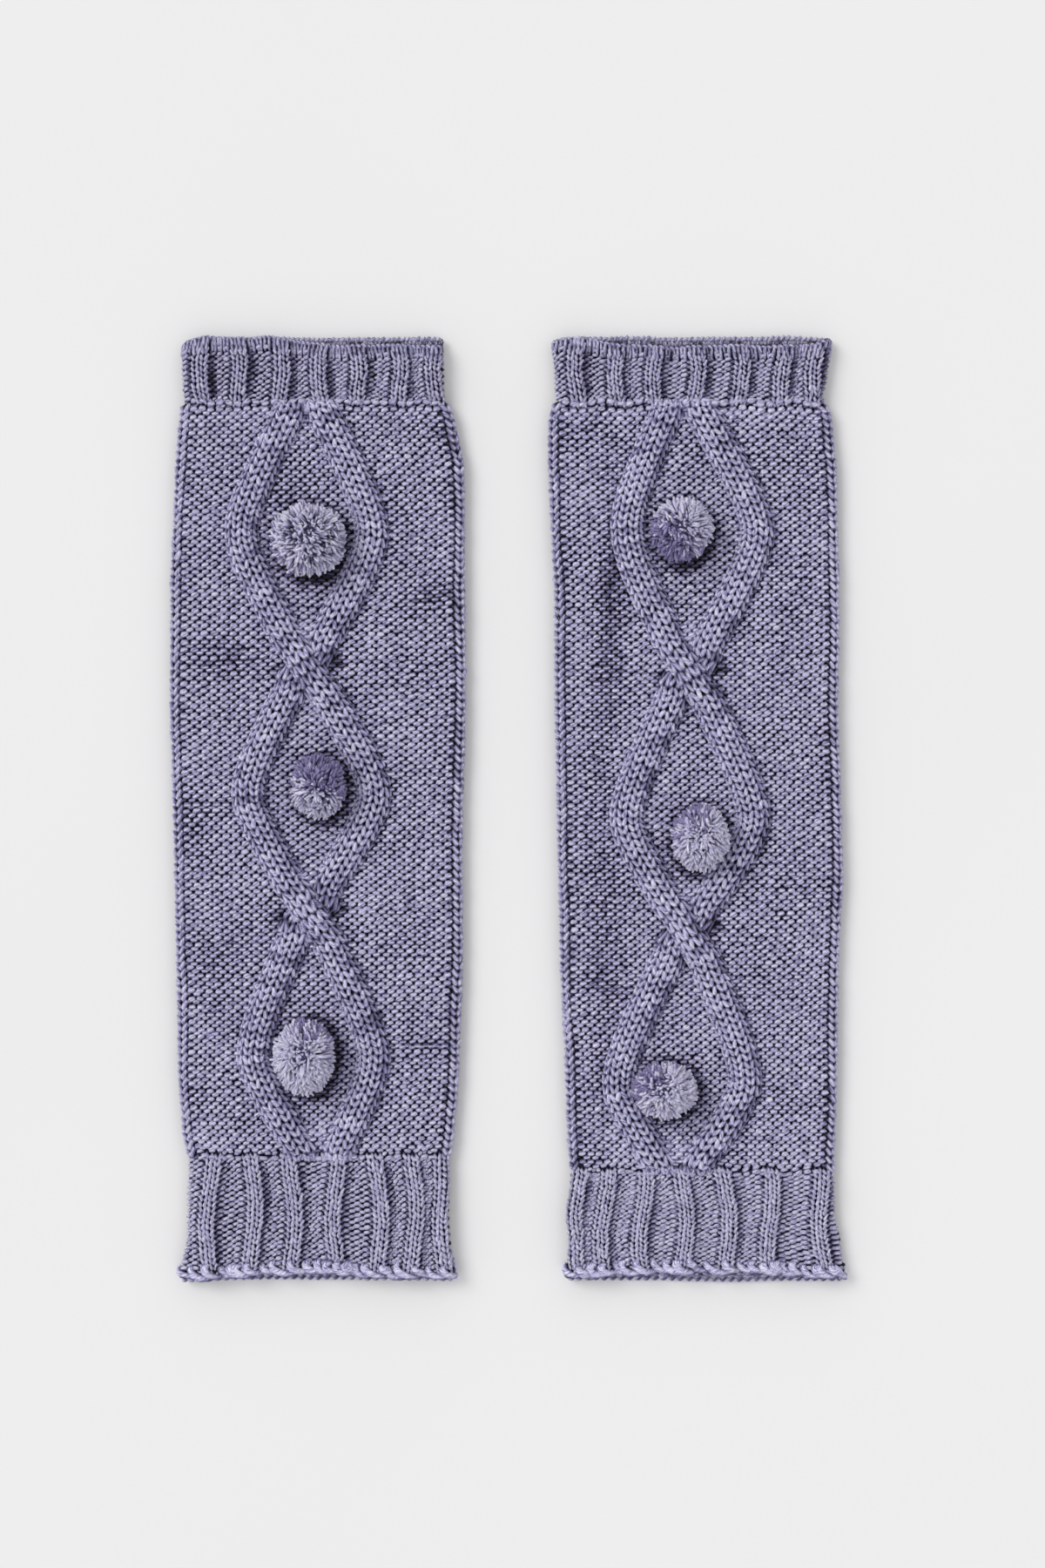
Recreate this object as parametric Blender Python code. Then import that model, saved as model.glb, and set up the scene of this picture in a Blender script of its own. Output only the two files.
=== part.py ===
"""Pair of knitted leg warmers laid flat side by side, with ribbed cuffs, a two-cord cable and pompoms.

Metres, +Z up. +Y runs from the bind-off to the cast-on edge, and the warmers lie on z = 0.
Each knitted piece is one closed wall, lofted through rings of points round the tube.
"""

import math

import bmesh
import bpy
import numpy as np

MM = 0.001

# Cloth, in mm
WALL = 2.7
LAID_HEIGHT = 7.6
CROWN = 0.7
MOUTH_LIFT = 1.0
MOUTH_EASE = 16.0
RIM_ROUND = 0.9
RIM_TAPER = 0.28
SEAM_GAP = 0.3
FOLD_GROOVE_IN = 7.5
FOLD_GROOVE_DEPTH = 0.5

# Cable, in mm
CORD_HALF_WIDTH = 7.2
CORD_RISE = 3.3
CORD_END_RISE = 0.35
CORD_END_EASE = 4.0
OVER_RISE = 1.0
UNDER_SINK = 1.0
CROSSING_REACH = 13.0
MEETING_REACH = 9.5
MEETING_SPREAD = 6.6
ELBOW_ROUNDING = 0.24

# Ribs, in mm
RIB_HALF_WIDTH = 4.1
RIB_CREST_HALF = 2.3
RIB_RISE = 1.6
RIB_TO_FOLD = 0.6
RIM_WAVE = 0.9
CURL_RISE = 0.9

# Where the cuffs end, in mm
TOP_RIM = 200.0
TOP_FRONT_DROP = 4.6
BOTTOM_RIM = -200.0
BOTTOM_FRONT_DROP = -2.4
FLARE_LIFT = 0.5

# Points round a tube and sections along it
FOLD_STEPS = 4
UNDER_POINTS = 5
SECTION_STEP_LEG = 5.6
SECTION_STEP_CROSSING = 2.8
SECTION_STEP_CUFF = 7.0
RIM_SECTION = 3.2
INSIDE_SECTIONS = 7

# Outline seen from above. Columns: y, left edge x, right edge x, in mm
LEFT_OUTLINE = (
    (200.0, -138.3, -26.0),
    (186.0, -138.9, -25.6),
    (172.7, -138.0, -25.1),
    (163.8, -139.5, -21.4),
    (146.1, -141.0, -17.7),
    (93.0, -143.2, -17.3),
    (39.9, -143.2, -17.0),
    (-13.3, -141.7, -18.5),
    (-66.4, -140.6, -18.1),
    (-110.7, -139.9, -19.9),
    (-137.3, -138.0, -21.8),
    (-148.3, -135.8, -23.6),
    (-181.5, -136.2, -22.9),
    (-193.4, -139.1, -21.0),
    (-200.0, -139.5, -20.6),
)
RIGHT_OUTLINE = (
    (200.0, 17.9, 138.8),
    (186.0, 19.2, 137.3),
    (174.2, 19.9, 134.7),
    (165.3, 17.3, 138.4),
    (146.1, 17.0, 140.2),
    (93.0, 19.6, 141.3),
    (39.9, 19.9, 141.0),
    (-31.0, 21.4, 143.2),
    (-66.4, 22.1, 141.0),
    (-101.8, 24.0, 140.6),
    (-128.4, 24.7, 139.9),
    (-155.0, 26.2, 139.1),
    (-172.7, 24.0, 140.2),
    (-181.5, 25.1, 142.8),
    (-200.0, 24.2, 144.5),
)

# The two cords where they start, spread widest, cross and end. Columns: y, left cord x, right cord x, in mm
LEFT_CABLE = (
    (169.7, -91.1, -79.0),
    (116.6, -112.2, -57.2),
    (60.1, -84.9, -84.9),
    (6.6, -109.2, -56.1),
    (-44.3, -83.4, -83.4),
    (-104.8, -107.0, -56.5),
    (-145.4, -86.7, -71.6),
)
RIGHT_CABLE = (
    (169.0, 68.3, 81.9),
    (117.7, 51.3, 106.3),
    (57.6, 77.1, 77.1),
    (-4.4, 50.9, 104.4),
    (-52.0, 76.4, 76.4),
    (-115.9, 47.6, 100.7),
    (-151.3, 64.9, 80.1),
)

# Middles of the ribs. Columns: x at the cuff's upper end, x at its lower end, in mm
LEFT_TOP_RIBS = (
    (-129.9, -129.0),
    (-114.0, -113.2),
    (-95.6, -95.9),
    (-79.5, -79.2),
    (-63.5, -63.3),
    (-46.1, -45.2),
    (-31.3, -30.0),
)
LEFT_BOTTOM_RIBS = (
    (-125.4, -126.2),
    (-108.1, -107.6),
    (-91.2, -91.0),
    (-72.5, -72.0),
    (-54.8, -54.2),
    (-40.0, -39.4),
    (-27.6, -26.6),
)
RIGHT_TOP_RIBS = (
    (28.6, 30.2),
    (45.6, 46.8),
    (62.1, 62.4),
    (79.8, 80.2),
    (98.6, 98.8),
    (117.0, 116.2),
    (131.4, 129.0),
)
RIGHT_BOTTOM_RIBS = (
    (29.6, 29.0),
    (41.6, 40.6),
    (57.5, 57.2),
    (74.4, 74.8),
    (92.1, 93.2),
    (110.8, 111.9),
    (131.8, 134.6),
)

# Shallow creases in the front. Columns: x, y, half length, half width, depth in mm, turn in degrees
LEFT_CREASES = (
    (-26.0, 159.0, 11.0, 5.0, 0.9, -58.0),
    (-131.0, 67.0, 13.0, 5.0, 0.7, 4.0),
    (-131.0, 1.0, 13.0, 5.0, 0.7, -4.0),
)
RIGHT_CREASES = (
    (127.0, 162.0, 12.0, 5.0, 0.6, 40.0),
    (132.0, -36.0, 12.0, 5.0, 0.6, -6.0),
    (33.0, -150.0, 11.0, 5.0, 0.6, 24.0),
)

# Columns: upper end y and lower end y of the leg, in mm
LEFT_LEG_ENDS = (171.0, -147.0)
RIGHT_LEG_ENDS = (171.0, -153.4)

# Pompoms. Columns: x, y, size across, size along, height, turn in degrees
LEFT_POMPOMS = (
    (-83.4, 113.7, 34.0, 33.0, 23.0, 10.0),
    (-79.2, 9.2, 24.0, 28.0, 20.0, 75.0),
    (-85.2, -104.4, 27.0, 33.0, 21.0, 140.0),
)
RIGHT_POMPOMS = (
    (73.4, 117.3, 27.0, 28.0, 20.0, 205.0),
    (81.5, -12.5, 25.0, 29.0, 20.0, 260.0),
    (66.4, -118.4, 28.0, 25.0, 20.0, 320.0),
)
POMPOM_LOCKS = 41
POMPOM_CORE = 0.50
POMPOM_FLARE = 1.75
POMPOM_SEAT = 0.45
POMPOM_GAP = 0.3
LOCK_INSET = 0.036
LOCK_UNEVEN = 0.11
LOCK_POINT = 0.10

# The pair is centred on x = 0
PAIR_MIDDLE = 0.5 * (
    min(row[1] for row in LEFT_OUTLINE) + max(row[2] for row in RIGHT_OUTLINE)
)

# Surface finishes. Columns: base colour, roughness
MARLED_YARN = ((0.42, 0.40, 0.52, 1.0), 0.9)
POMPOM_YARN = ((0.30, 0.27, 0.38, 1.0), 0.95)


def column(table, index):
    """One column of a table, ordered from the lowest y up."""
    return np.array([row[index] for row in table])[::-1]


def edges(outline, y):
    """Left and right edge of the outline at height y."""
    heights = column(outline, 0)
    left = np.interp(y, heights, column(outline, 1))
    right = np.interp(y, heights, column(outline, 2))
    return left - PAIR_MIDDLE, right - PAIR_MIDDLE


def softened(t):
    """Rise from 0 to 1 that runs straight and rounds off into a level elbow at t = 1."""
    e = ELBOW_ROUNDING
    top = math.hypot(1.0, e)
    return (top - np.hypot(1.0 - t, e)) / (top - e)


def cable_at(cable, y):
    """Middle of the cable and the signed offset of the cord that starts on the left.

    The cords run straight between their widest places and a short stretch where they lie
    side by side, and there they change sides in one steep turn.
    """
    heights = column(cable, 0)
    lefts = column(cable, 1)
    rights = column(cable, 2)
    middle = np.interp(y, heights, 0.5 * (lefts + rights)) - PAIR_MIDDLE
    nodes = []
    side = -1.0
    for row_y, left, right in cable:
        if left == right:
            nodes.append((row_y + MEETING_REACH, side * MEETING_SPREAD))
            side = -side
            nodes.append((row_y - MEETING_REACH, side * MEETING_SPREAD))
        else:
            nodes.append((row_y, side * 0.5 * (right - left)))
    for (upper_y, upper), (lower_y, lower) in zip(nodes, nodes[1:]):
        if y >= lower_y:
            break
    part = min(max((upper_y - y) / (upper_y - lower_y), 0.0), 1.0)
    if upper == -lower:
        return middle, upper * math.cos(math.pi * part)
    if abs(lower) > abs(upper):
        return middle, upper + (lower - upper) * softened(part)
    return middle, lower + (upper - lower) * softened(1.0 - part)


def crossing_share(cable, y):
    """1 at the height where the cords cross, 0 away from it."""
    near = min(abs(y - cable[2][0]), abs(y - cable[4][0]))
    return max(0.0, 1.0 - near / CROSSING_REACH)


def bump(distance, half):
    """Rounded swell that is 1 in the middle and 0 from half a width out."""
    return np.clip(1.0 - (np.abs(distance) / half) ** 2.4, 0.0, None)


def cable_rise(cable, x, y):
    """How far the cords stand above the ground at x, y."""
    if not cable[-1][0] <= y <= cable[0][0]:
        return np.zeros_like(x)
    middle, offset = cable_at(cable, y)
    step = 1.0
    slope = (cable_at(cable, y + step)[1] - cable_at(cable, y - step)[1]) / (2.0 * step)
    half = CORD_HALF_WIDTH * math.hypot(1.0, slope)
    share = crossing_share(cable, y)
    starts_left = bump(x - middle - offset, half)
    starts_right = bump(x - middle + offset, half)
    over, under = (starts_left, starts_right) if slope < 0 else (starts_right, starts_left)
    from_end = min(cable[0][0] - y, y - cable[-1][0])
    end_ease = min(1.0, CORD_END_RISE + from_end / CORD_END_EASE)
    rise_over = over * (CORD_RISE + OVER_RISE * share)
    rise_under = under * (CORD_RISE - UNDER_SINK * share)
    return end_ease * np.maximum(rise_over, rise_under)


def crease_sink(creases, x, y):
    """Depth of the shallow creases at x, y."""
    depth = np.zeros_like(x)
    for at_x, at_y, half_long, half_wide, most, turn in creases:
        dx = x - (at_x - PAIR_MIDDLE)
        dy = y - at_y
        c, s = math.cos(math.radians(turn)), math.sin(math.radians(turn))
        along = (dx * c + dy * s) / half_long
        across = (-dx * s + dy * c) / half_wide
        depth = depth + most * np.exp(-(along**2) - across**2)
    return depth


def leg_columns(cable, left, right, y):
    """Front column positions: they follow the cords, so few of them draw the cable truly."""
    middle, offset = cable_at(cable, y)
    spread = max(abs(offset), MEETING_SPREAD)
    reach = np.array([0.0, 0.42, 0.8, 1.08]) * CORD_HALF_WIDTH * 1.15
    inner = np.minimum(reach, spread * np.array([0.0, 0.3, 0.58, 0.84]))
    left_cord = middle - spread
    right_cord = middle + spread
    groove = FOLD_GROOVE_IN - 0.5 * LAID_HEIGHT
    left_ground = np.array([left, left + groove])
    left_ground = np.append(left_ground, 0.5 * (left + groove + left_cord - reach[-1]))
    right_ground = np.array([right - groove, right])
    right_ground = np.append(0.5 * (right - groove + right_cord + reach[-1]), right_ground)
    return np.concatenate(
        [
            left_ground,
            left_cord - reach[:0:-1],
            left_cord + inner,
            [middle],
            right_cord - inner[::-1],
            right_cord + reach[1:],
            right_ground,
        ]
    )


def rib_columns(ribs, left, right, share):
    """Front column positions: valley, crest, crest, valley for each rib."""
    middles = np.array([high + (low - high) * share for high, low in ribs]) - PAIR_MIDDLE
    room = RIB_HALF_WIDTH + RIB_TO_FOLD
    middles = np.clip(middles, left + room, right - room)
    steps = np.array([-RIB_HALF_WIDTH, -RIB_CREST_HALF, RIB_CREST_HALF, RIB_HALF_WIDTH])
    inside = (middles[:, None] + steps[None, :]).ravel()
    return np.concatenate([[left], inside, [right]])


def rib_rise(count):
    """Rise of each rib column: the crests stand up and the valleys don't."""
    return np.concatenate([[0.0], np.tile([0.0, 1.0, 1.0, 0.0], count), [0.0]]) * RIB_RISE


def ring(columns, rise, height, y, back_shift, inset):
    """Closed ring of points round the flattened tube, starting on the left of the front.

    The front runs left to right, then the right fold, the underside and the left fold.
    """
    left, right = columns[0], columns[-1]
    middle = 0.5 * (left + right)
    radius = 0.5 * height
    across = (columns - middle) / (0.5 * (right - left))
    front_z = height + CROWN * (1.0 - across**4) * (inset == 0.0) + rise
    angles = np.linspace(0.0, math.pi, FOLD_STEPS + 1)[1:-1]
    fold_x = right + radius * np.sin(angles)
    fold_z = radius + radius * np.cos(angles)
    far_x = left - radius * np.sin(angles[::-1])
    far_z = radius + radius * np.cos(angles[::-1])
    under_x = np.linspace(right, left, UNDER_POINTS)
    xs = np.concatenate([columns, fold_x, under_x, far_x])
    zs = np.concatenate([front_z, fold_z, np.zeros(under_x.size), far_z]) + inset
    backness = np.clip(1.0 - (zs - inset) / height, 0.0, 1.0)
    ys = y + back_shift * backness
    return np.column_stack([xs, ys, zs])


def loft(name, outside, inside, material, collection):
    """One closed wall: outer rings from end to end, then the inner rings back to the start."""
    rings = outside + inside[::-1]
    count = len(rings[0])
    points = np.concatenate(rings) * MM
    faces = []
    total = len(rings)
    for i in range(total):
        a, b = i * count, (i + 1) % total * count
        faces += [
            (a + j, a + (j + 1) % count, b + (j + 1) % count, b + j) for j in range(count)
        ]
    mesh = bpy.data.meshes.new(name)
    mesh.from_pydata(points.tolist(), [], faces)
    mesh.update()
    return placed(name, mesh, material, collection)


def placed(name, mesh, material, collection):
    """A named object in the collection, with its faces turned outward and shaded smooth."""
    form = bmesh.new()
    form.from_mesh(mesh)
    bmesh.ops.recalc_face_normals(form, faces=form.faces)
    form.to_mesh(mesh)
    form.free()
    mesh.materials.append(material)
    mesh.shade_smooth()
    mesh.set_sharp_from_angle(angle=math.radians(50.0))
    made = bpy.data.objects.new(name, mesh)
    collection.objects.link(made)
    return made


def sections(start, end, step):
    """Evenly spaced heights from start down to end."""
    count = max(2, int(round(abs(start - end) / step)) + 1)
    return np.linspace(start, end, count)


def wall_rings(heights, columns_at, rise_at, lift_at, shift_at, outline):
    """Outer rings at the given heights, and plain inner rings at a few of them."""
    outside = []
    for y in heights:
        left, right = edges(outline, y)
        height = LAID_HEIGHT + lift_at(y)
        flat_left = left + 0.5 * height
        flat_right = right - 0.5 * height
        columns = columns_at(flat_left, flat_right, y)
        outside.append(ring(columns, rise_at(columns, y), height, y, shift_at(y), 0.0))
    return outside


def inner_rings(heights, count, lift_at, shift_at, outline):
    """Plain inner rings, with as many points as the outer ones."""
    front = count - 2 * (FOLD_STEPS - 1) - UNDER_POINTS
    inside = []
    for y in heights:
        left, right = edges(outline, y)
        height = LAID_HEIGHT - 2.0 * WALL + lift_at(y)
        columns = np.linspace(left + WALL + 0.5 * height, right - WALL - 0.5 * height, front)
        inside.append(ring(columns, 0.0, height, y, shift_at(y), WALL))
    return inside


def rounded_rim(outer, inner, outward):
    """A narrower pair of rings a little beyond, so that the cloth's edge is round."""
    beyond = np.array([0.0, outward * RIM_ROUND, 0.0])
    thick = outer - inner
    return outer - RIM_TAPER * thick + beyond, inner + RIM_TAPER * thick + beyond


def build_leg(name, outline, cable, creases, ends, material, collection):
    """The tube between the cuffs, with its cable."""
    top = ends[0] - 0.5 * SEAM_GAP
    bottom = ends[1] + 0.5 * SEAM_GAP
    heights = sections(top, bottom, SECTION_STEP_LEG)
    for crossing in (cable[2][0], cable[4][0]):
        near = sections(crossing + CROSSING_REACH, crossing - CROSSING_REACH, SECTION_STEP_CROSSING)
        away = np.abs(heights - crossing) > CROSSING_REACH + 0.5 * SECTION_STEP_CROSSING
        heights = np.concatenate([heights[away], near])
    heights = np.sort(heights)[::-1]

    def columns_at(left, right, y):
        return leg_columns(cable, left, right, y)

    def rise_at(columns, y):
        groove = np.zeros_like(columns)
        groove[1] = -FOLD_GROOVE_DEPTH
        groove[-2] = -FOLD_GROOVE_DEPTH
        return cable_rise(cable, columns, y) + groove - crease_sink(creases, columns, y)

    def no_change(y):
        return 0.0

    outside = wall_rings(heights, columns_at, rise_at, no_change, no_change, outline)
    count = len(outside[0])
    plain = np.linspace(top, bottom, INSIDE_SECTIONS)
    inside = inner_rings(plain, count, no_change, no_change, outline)
    return loft(name, outside, inside, material, collection)


def build_cuff(name, outline, ribs, start, end, is_top, material, collection):
    """A ribbed cuff from start down to end; its free edge is rounded and stands open a little."""
    front_drop = TOP_FRONT_DROP if is_top else BOTTOM_FRONT_DROP
    heights = sections(start, end, SECTION_STEP_CUFF)
    if is_top:
        heights = heights - (heights - end) / (start - end) * (front_drop + RIM_ROUND)
    else:
        heights = heights - (heights - start) / (end - start) * (front_drop - RIM_ROUND)
    edge = heights[0] if is_top else heights[-1]
    beside_rim = edge - RIM_SECTION if is_top else edge + RIM_SECTION
    heights = np.sort(np.append(heights, beside_rim))[::-1]

    def nearness(y):
        return float(np.clip(1.0 - abs(y - edge) / MOUTH_EASE, 0.0, 1.0))

    def lift_at(y):
        flare = FLARE_LIFT * nearness(y) ** 3 * (not is_top)
        return MOUTH_LIFT * nearness(y) ** 2 + flare

    def shift_at(y):
        return front_drop * nearness(y)

    def columns_at(left, right, y):
        share = (start - y) / (start - end)
        return rib_columns(ribs, left, right, share)

    def rise_at(columns, y):
        return rib_rise(len(ribs))

    outside = wall_rings(heights, columns_at, rise_at, lift_at, shift_at, outline)
    count = len(outside[0])
    plain = np.array([heights[0], heights[len(heights) // 2], heights[-1]])
    inside = inner_rings(plain, count, lift_at, shift_at, outline)
    at = 0 if is_top else -1
    outward = 1.0 if is_top else -1.0
    wave = np.zeros(count)
    wave[: 4 * len(ribs) + 2] = rib_rise(len(ribs)) / RIB_RISE
    if not is_top:
        wave[: 4 * len(ribs) + 2] = 0.5 - 0.5 * np.cos(math.pi * np.arange(4 * len(ribs) + 2))
        outside[at][:, 2] += wave * CURL_RISE
        outside[at - 1][:, 2] += 0.5 * wave * CURL_RISE
    outside[at][:, 1] += outward * RIM_WAVE * wave
    inside[at][:, 1] += outward * RIM_WAVE * wave
    rim_outer, rim_inner = rounded_rim(outside[at], inside[at], outward)
    if is_top:
        outside, inside = [rim_outer] + outside, [rim_inner] + inside
    else:
        outside, inside = outside + [rim_outer], inside + [rim_inner]
    return loft(name, outside, inside, material, collection)


def build_pompom(name, row, seat, material, collection):
    """A small core with three-sided locks of cut yarn that flare outward from it."""
    x, y, across, along, tall, turn = row
    form = bmesh.new()
    bmesh.ops.create_icosphere(form, subdivisions=2, radius=POMPOM_CORE)
    tilt = math.radians(turn)
    for vertex in form.verts:
        px, py = vertex.co.x, vertex.co.y
        vertex.co.x = px * math.cos(tilt) - py * math.sin(tilt)
        vertex.co.y = px * math.sin(tilt) + py * math.cos(tilt)
    form.normal_update()
    ordered = sorted(form.faces, key=lambda face: -face.normal.z)
    roots = ordered[:POMPOM_LOCKS]
    bmesh.ops.inset_individual(form, faces=roots, thickness=LOCK_INSET * POMPOM_CORE, use_even_offset=True)
    for number, face in enumerate(roots):
        made = bmesh.ops.extrude_discrete_faces(form, faces=[face])
        tip = made["faces"][0]
        middle = tip.calc_center_median()
        out = middle.normalized()
        reach = 1.0 - POMPOM_CORE + LOCK_UNEVEN * math.sin(2.4 * number + turn)
        for vertex in tip.verts:
            vertex.co = middle + (vertex.co - middle) * POMPOM_FLARE + out * reach
        point = bmesh.ops.poke(form, faces=[tip])["verts"][0]
        point.co = point.co + out * LOCK_POINT
    lowest = -POMPOM_CORE * POMPOM_SEAT
    for vertex in form.verts:
        vertex.co.z = max(vertex.co.z, lowest)
    spans = np.array([tuple(vertex.co) for vertex in form.verts])
    low, high = spans.min(axis=0), spans.max(axis=0)
    size = np.array([across, along, tall]) / (high - low)
    base = np.array([x - PAIR_MIDDLE, y, seat])
    anchor = np.array([0.5 * (low[0] + high[0]), 0.5 * (low[1] + high[1]), low[2]])
    for vertex, at in zip(form.verts, (base + (spans - anchor) * size) * MM):
        vertex.co = at
    mesh = bpy.data.meshes.new(name)
    form.to_mesh(mesh)
    form.free()
    return placed(name, mesh, material, collection)


def cloth(name, colour, roughness):
    """A plain fabric material."""
    material = bpy.data.materials.new(name)
    material.use_nodes = True
    shader = material.node_tree.nodes["Principled BSDF"]
    shader.inputs["Base Color"].default_value = colour
    shader.inputs["Roughness"].default_value = roughness
    shader.inputs["Metallic"].default_value = 0.0
    return material


def build_warmer(side, outline, cable, creases, ends, top_ribs, bottom_ribs, pompoms, collection):
    """One leg warmer: two cuffs, the leg between them and three pompoms."""
    half_gap = 0.5 * SEAM_GAP
    yarn = cloth(side + "_marled_yarn", *MARLED_YARN)
    tuft = cloth(side + "_pompom_yarn", *POMPOM_YARN)
    build_cuff(
        side + "_top_cuff", outline, top_ribs, TOP_RIM, ends[0] + half_gap, True, yarn, collection
    )
    build_leg(side + "_leg", outline, cable, creases, ends, yarn, collection)
    build_cuff(
        side + "_bottom_cuff", outline, bottom_ribs, ends[1] - half_gap, BOTTOM_RIM, False, yarn, collection
    )
    seat = LAID_HEIGHT + CROWN + POMPOM_GAP
    for number, row in enumerate(pompoms, start=1):
        build_pompom(f"{side}_pompom_{number}", row, seat, tuft, collection)


for old in list(bpy.data.objects):
    bpy.data.objects.remove(old, do_unlink=True)

pair = bpy.data.collections.new("knitted_leg_warmers")
bpy.context.scene.collection.children.link(pair)
build_warmer(
    "left",
    LEFT_OUTLINE,
    LEFT_CABLE,
    LEFT_CREASES,
    LEFT_LEG_ENDS,
    LEFT_TOP_RIBS,
    LEFT_BOTTOM_RIBS,
    LEFT_POMPOMS,
    pair,
)
build_warmer(
    "right",
    RIGHT_OUTLINE,
    RIGHT_CABLE,
    RIGHT_CREASES,
    RIGHT_LEG_ENDS,
    RIGHT_TOP_RIBS,
    RIGHT_BOTTOM_RIBS,
    RIGHT_POMPOMS,
    pair,
)
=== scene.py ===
import math

import bpy
import numpy as np
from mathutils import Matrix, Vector


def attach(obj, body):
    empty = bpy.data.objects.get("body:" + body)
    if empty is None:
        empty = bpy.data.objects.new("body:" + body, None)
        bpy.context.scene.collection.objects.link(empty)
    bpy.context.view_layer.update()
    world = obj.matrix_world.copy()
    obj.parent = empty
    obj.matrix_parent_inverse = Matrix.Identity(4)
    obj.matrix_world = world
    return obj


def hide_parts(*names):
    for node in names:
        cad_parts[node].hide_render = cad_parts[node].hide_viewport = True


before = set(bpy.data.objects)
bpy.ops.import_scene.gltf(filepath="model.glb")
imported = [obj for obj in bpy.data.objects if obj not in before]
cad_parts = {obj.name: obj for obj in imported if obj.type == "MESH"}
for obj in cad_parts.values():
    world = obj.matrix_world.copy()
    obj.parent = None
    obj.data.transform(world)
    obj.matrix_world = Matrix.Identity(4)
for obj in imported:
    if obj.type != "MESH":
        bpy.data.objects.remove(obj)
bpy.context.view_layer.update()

# Yarn
# Chunky wool-blend yarn, light lavender-grey fibres plied with dark purple ones. Every strand in
# the pair is a tube swept along its own line, with the plies in its colour and bump.

MM = 0.001
# A strand's "rise" goes from 0 at RISE_FLOOR mm below the cloth's middle to 1 at RISE_SPAN above
# that, and sets how much shade is painted into its colour. STRAND_SHIFT keeps the streaks of two
# strands from matching, and CELL_FILL the faces' places in OFBake from touching.
RISE_FLOOR = 0.75
RISE_SPAN = 2.3
STRAND_SHIFT = 37.7
CELL_FILL = 0.999


def limited(values):
    """The values, but none below 0 or above 1."""
    return np.clip(values, 0.0, 1.0)


def linear(code):
    """sRGB hex to linear RGBA."""
    parts = [int(code[i : i + 2], 16) / 255.0 for i in (1, 3, 5)]
    return [p / 12.92 if p < 0.04045 else ((p + 0.055) / 1.055) ** 2.4 for p in parts] + [1.0]


def add(tree, kind, settings=(), links=()):
    """One node with its settings, and the sockets that feed it."""
    node = tree.nodes.new(kind)
    for key, value in dict(settings).items():
        if isinstance(key, str) and hasattr(node, key):
            setattr(node, key, value)
        else:
            node.inputs[key].default_value = value
    for key, source in dict(links).items():
        tree.links.new(source, node.inputs[key])
    return node


def ramp(tree, source, stops):
    """Colour ramp through (place, hex) stops."""
    node = add(tree, "ShaderNodeValToRGB", {}, {"Fac": source})
    while len(node.color_ramp.elements) < len(stops):
        node.color_ramp.elements.new(0.5)
    for element, (place, code) in zip(node.color_ramp.elements, stops):
        element.position = place
        element.color = linear(code)
    return node.outputs["Color"]


def maths(tree, operation, *values):
    """Result of one math node; its values are numbers or sockets."""
    settings = {"operation": operation}
    links = {}
    for place, value in enumerate(values):
        chosen = settings if isinstance(value, float) else links
        chosen[place] = value
    return add(tree, "ShaderNodeMath", settings, links).outputs[0]


def new_material(name):
    """Empty material and its node tree."""
    made = bpy.data.materials.new(name)
    made.use_nodes = True
    made.node_tree.nodes.clear()
    return made, made.node_tree


def close_material(tree, settings, links):
    """Ends a material in one surface with these settings."""
    surface = add(tree, "ShaderNodeBsdfPrincipled", settings, links)
    add(tree, "ShaderNodeOutputMaterial", {}, {"Surface": surface.outputs[0]})


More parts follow.
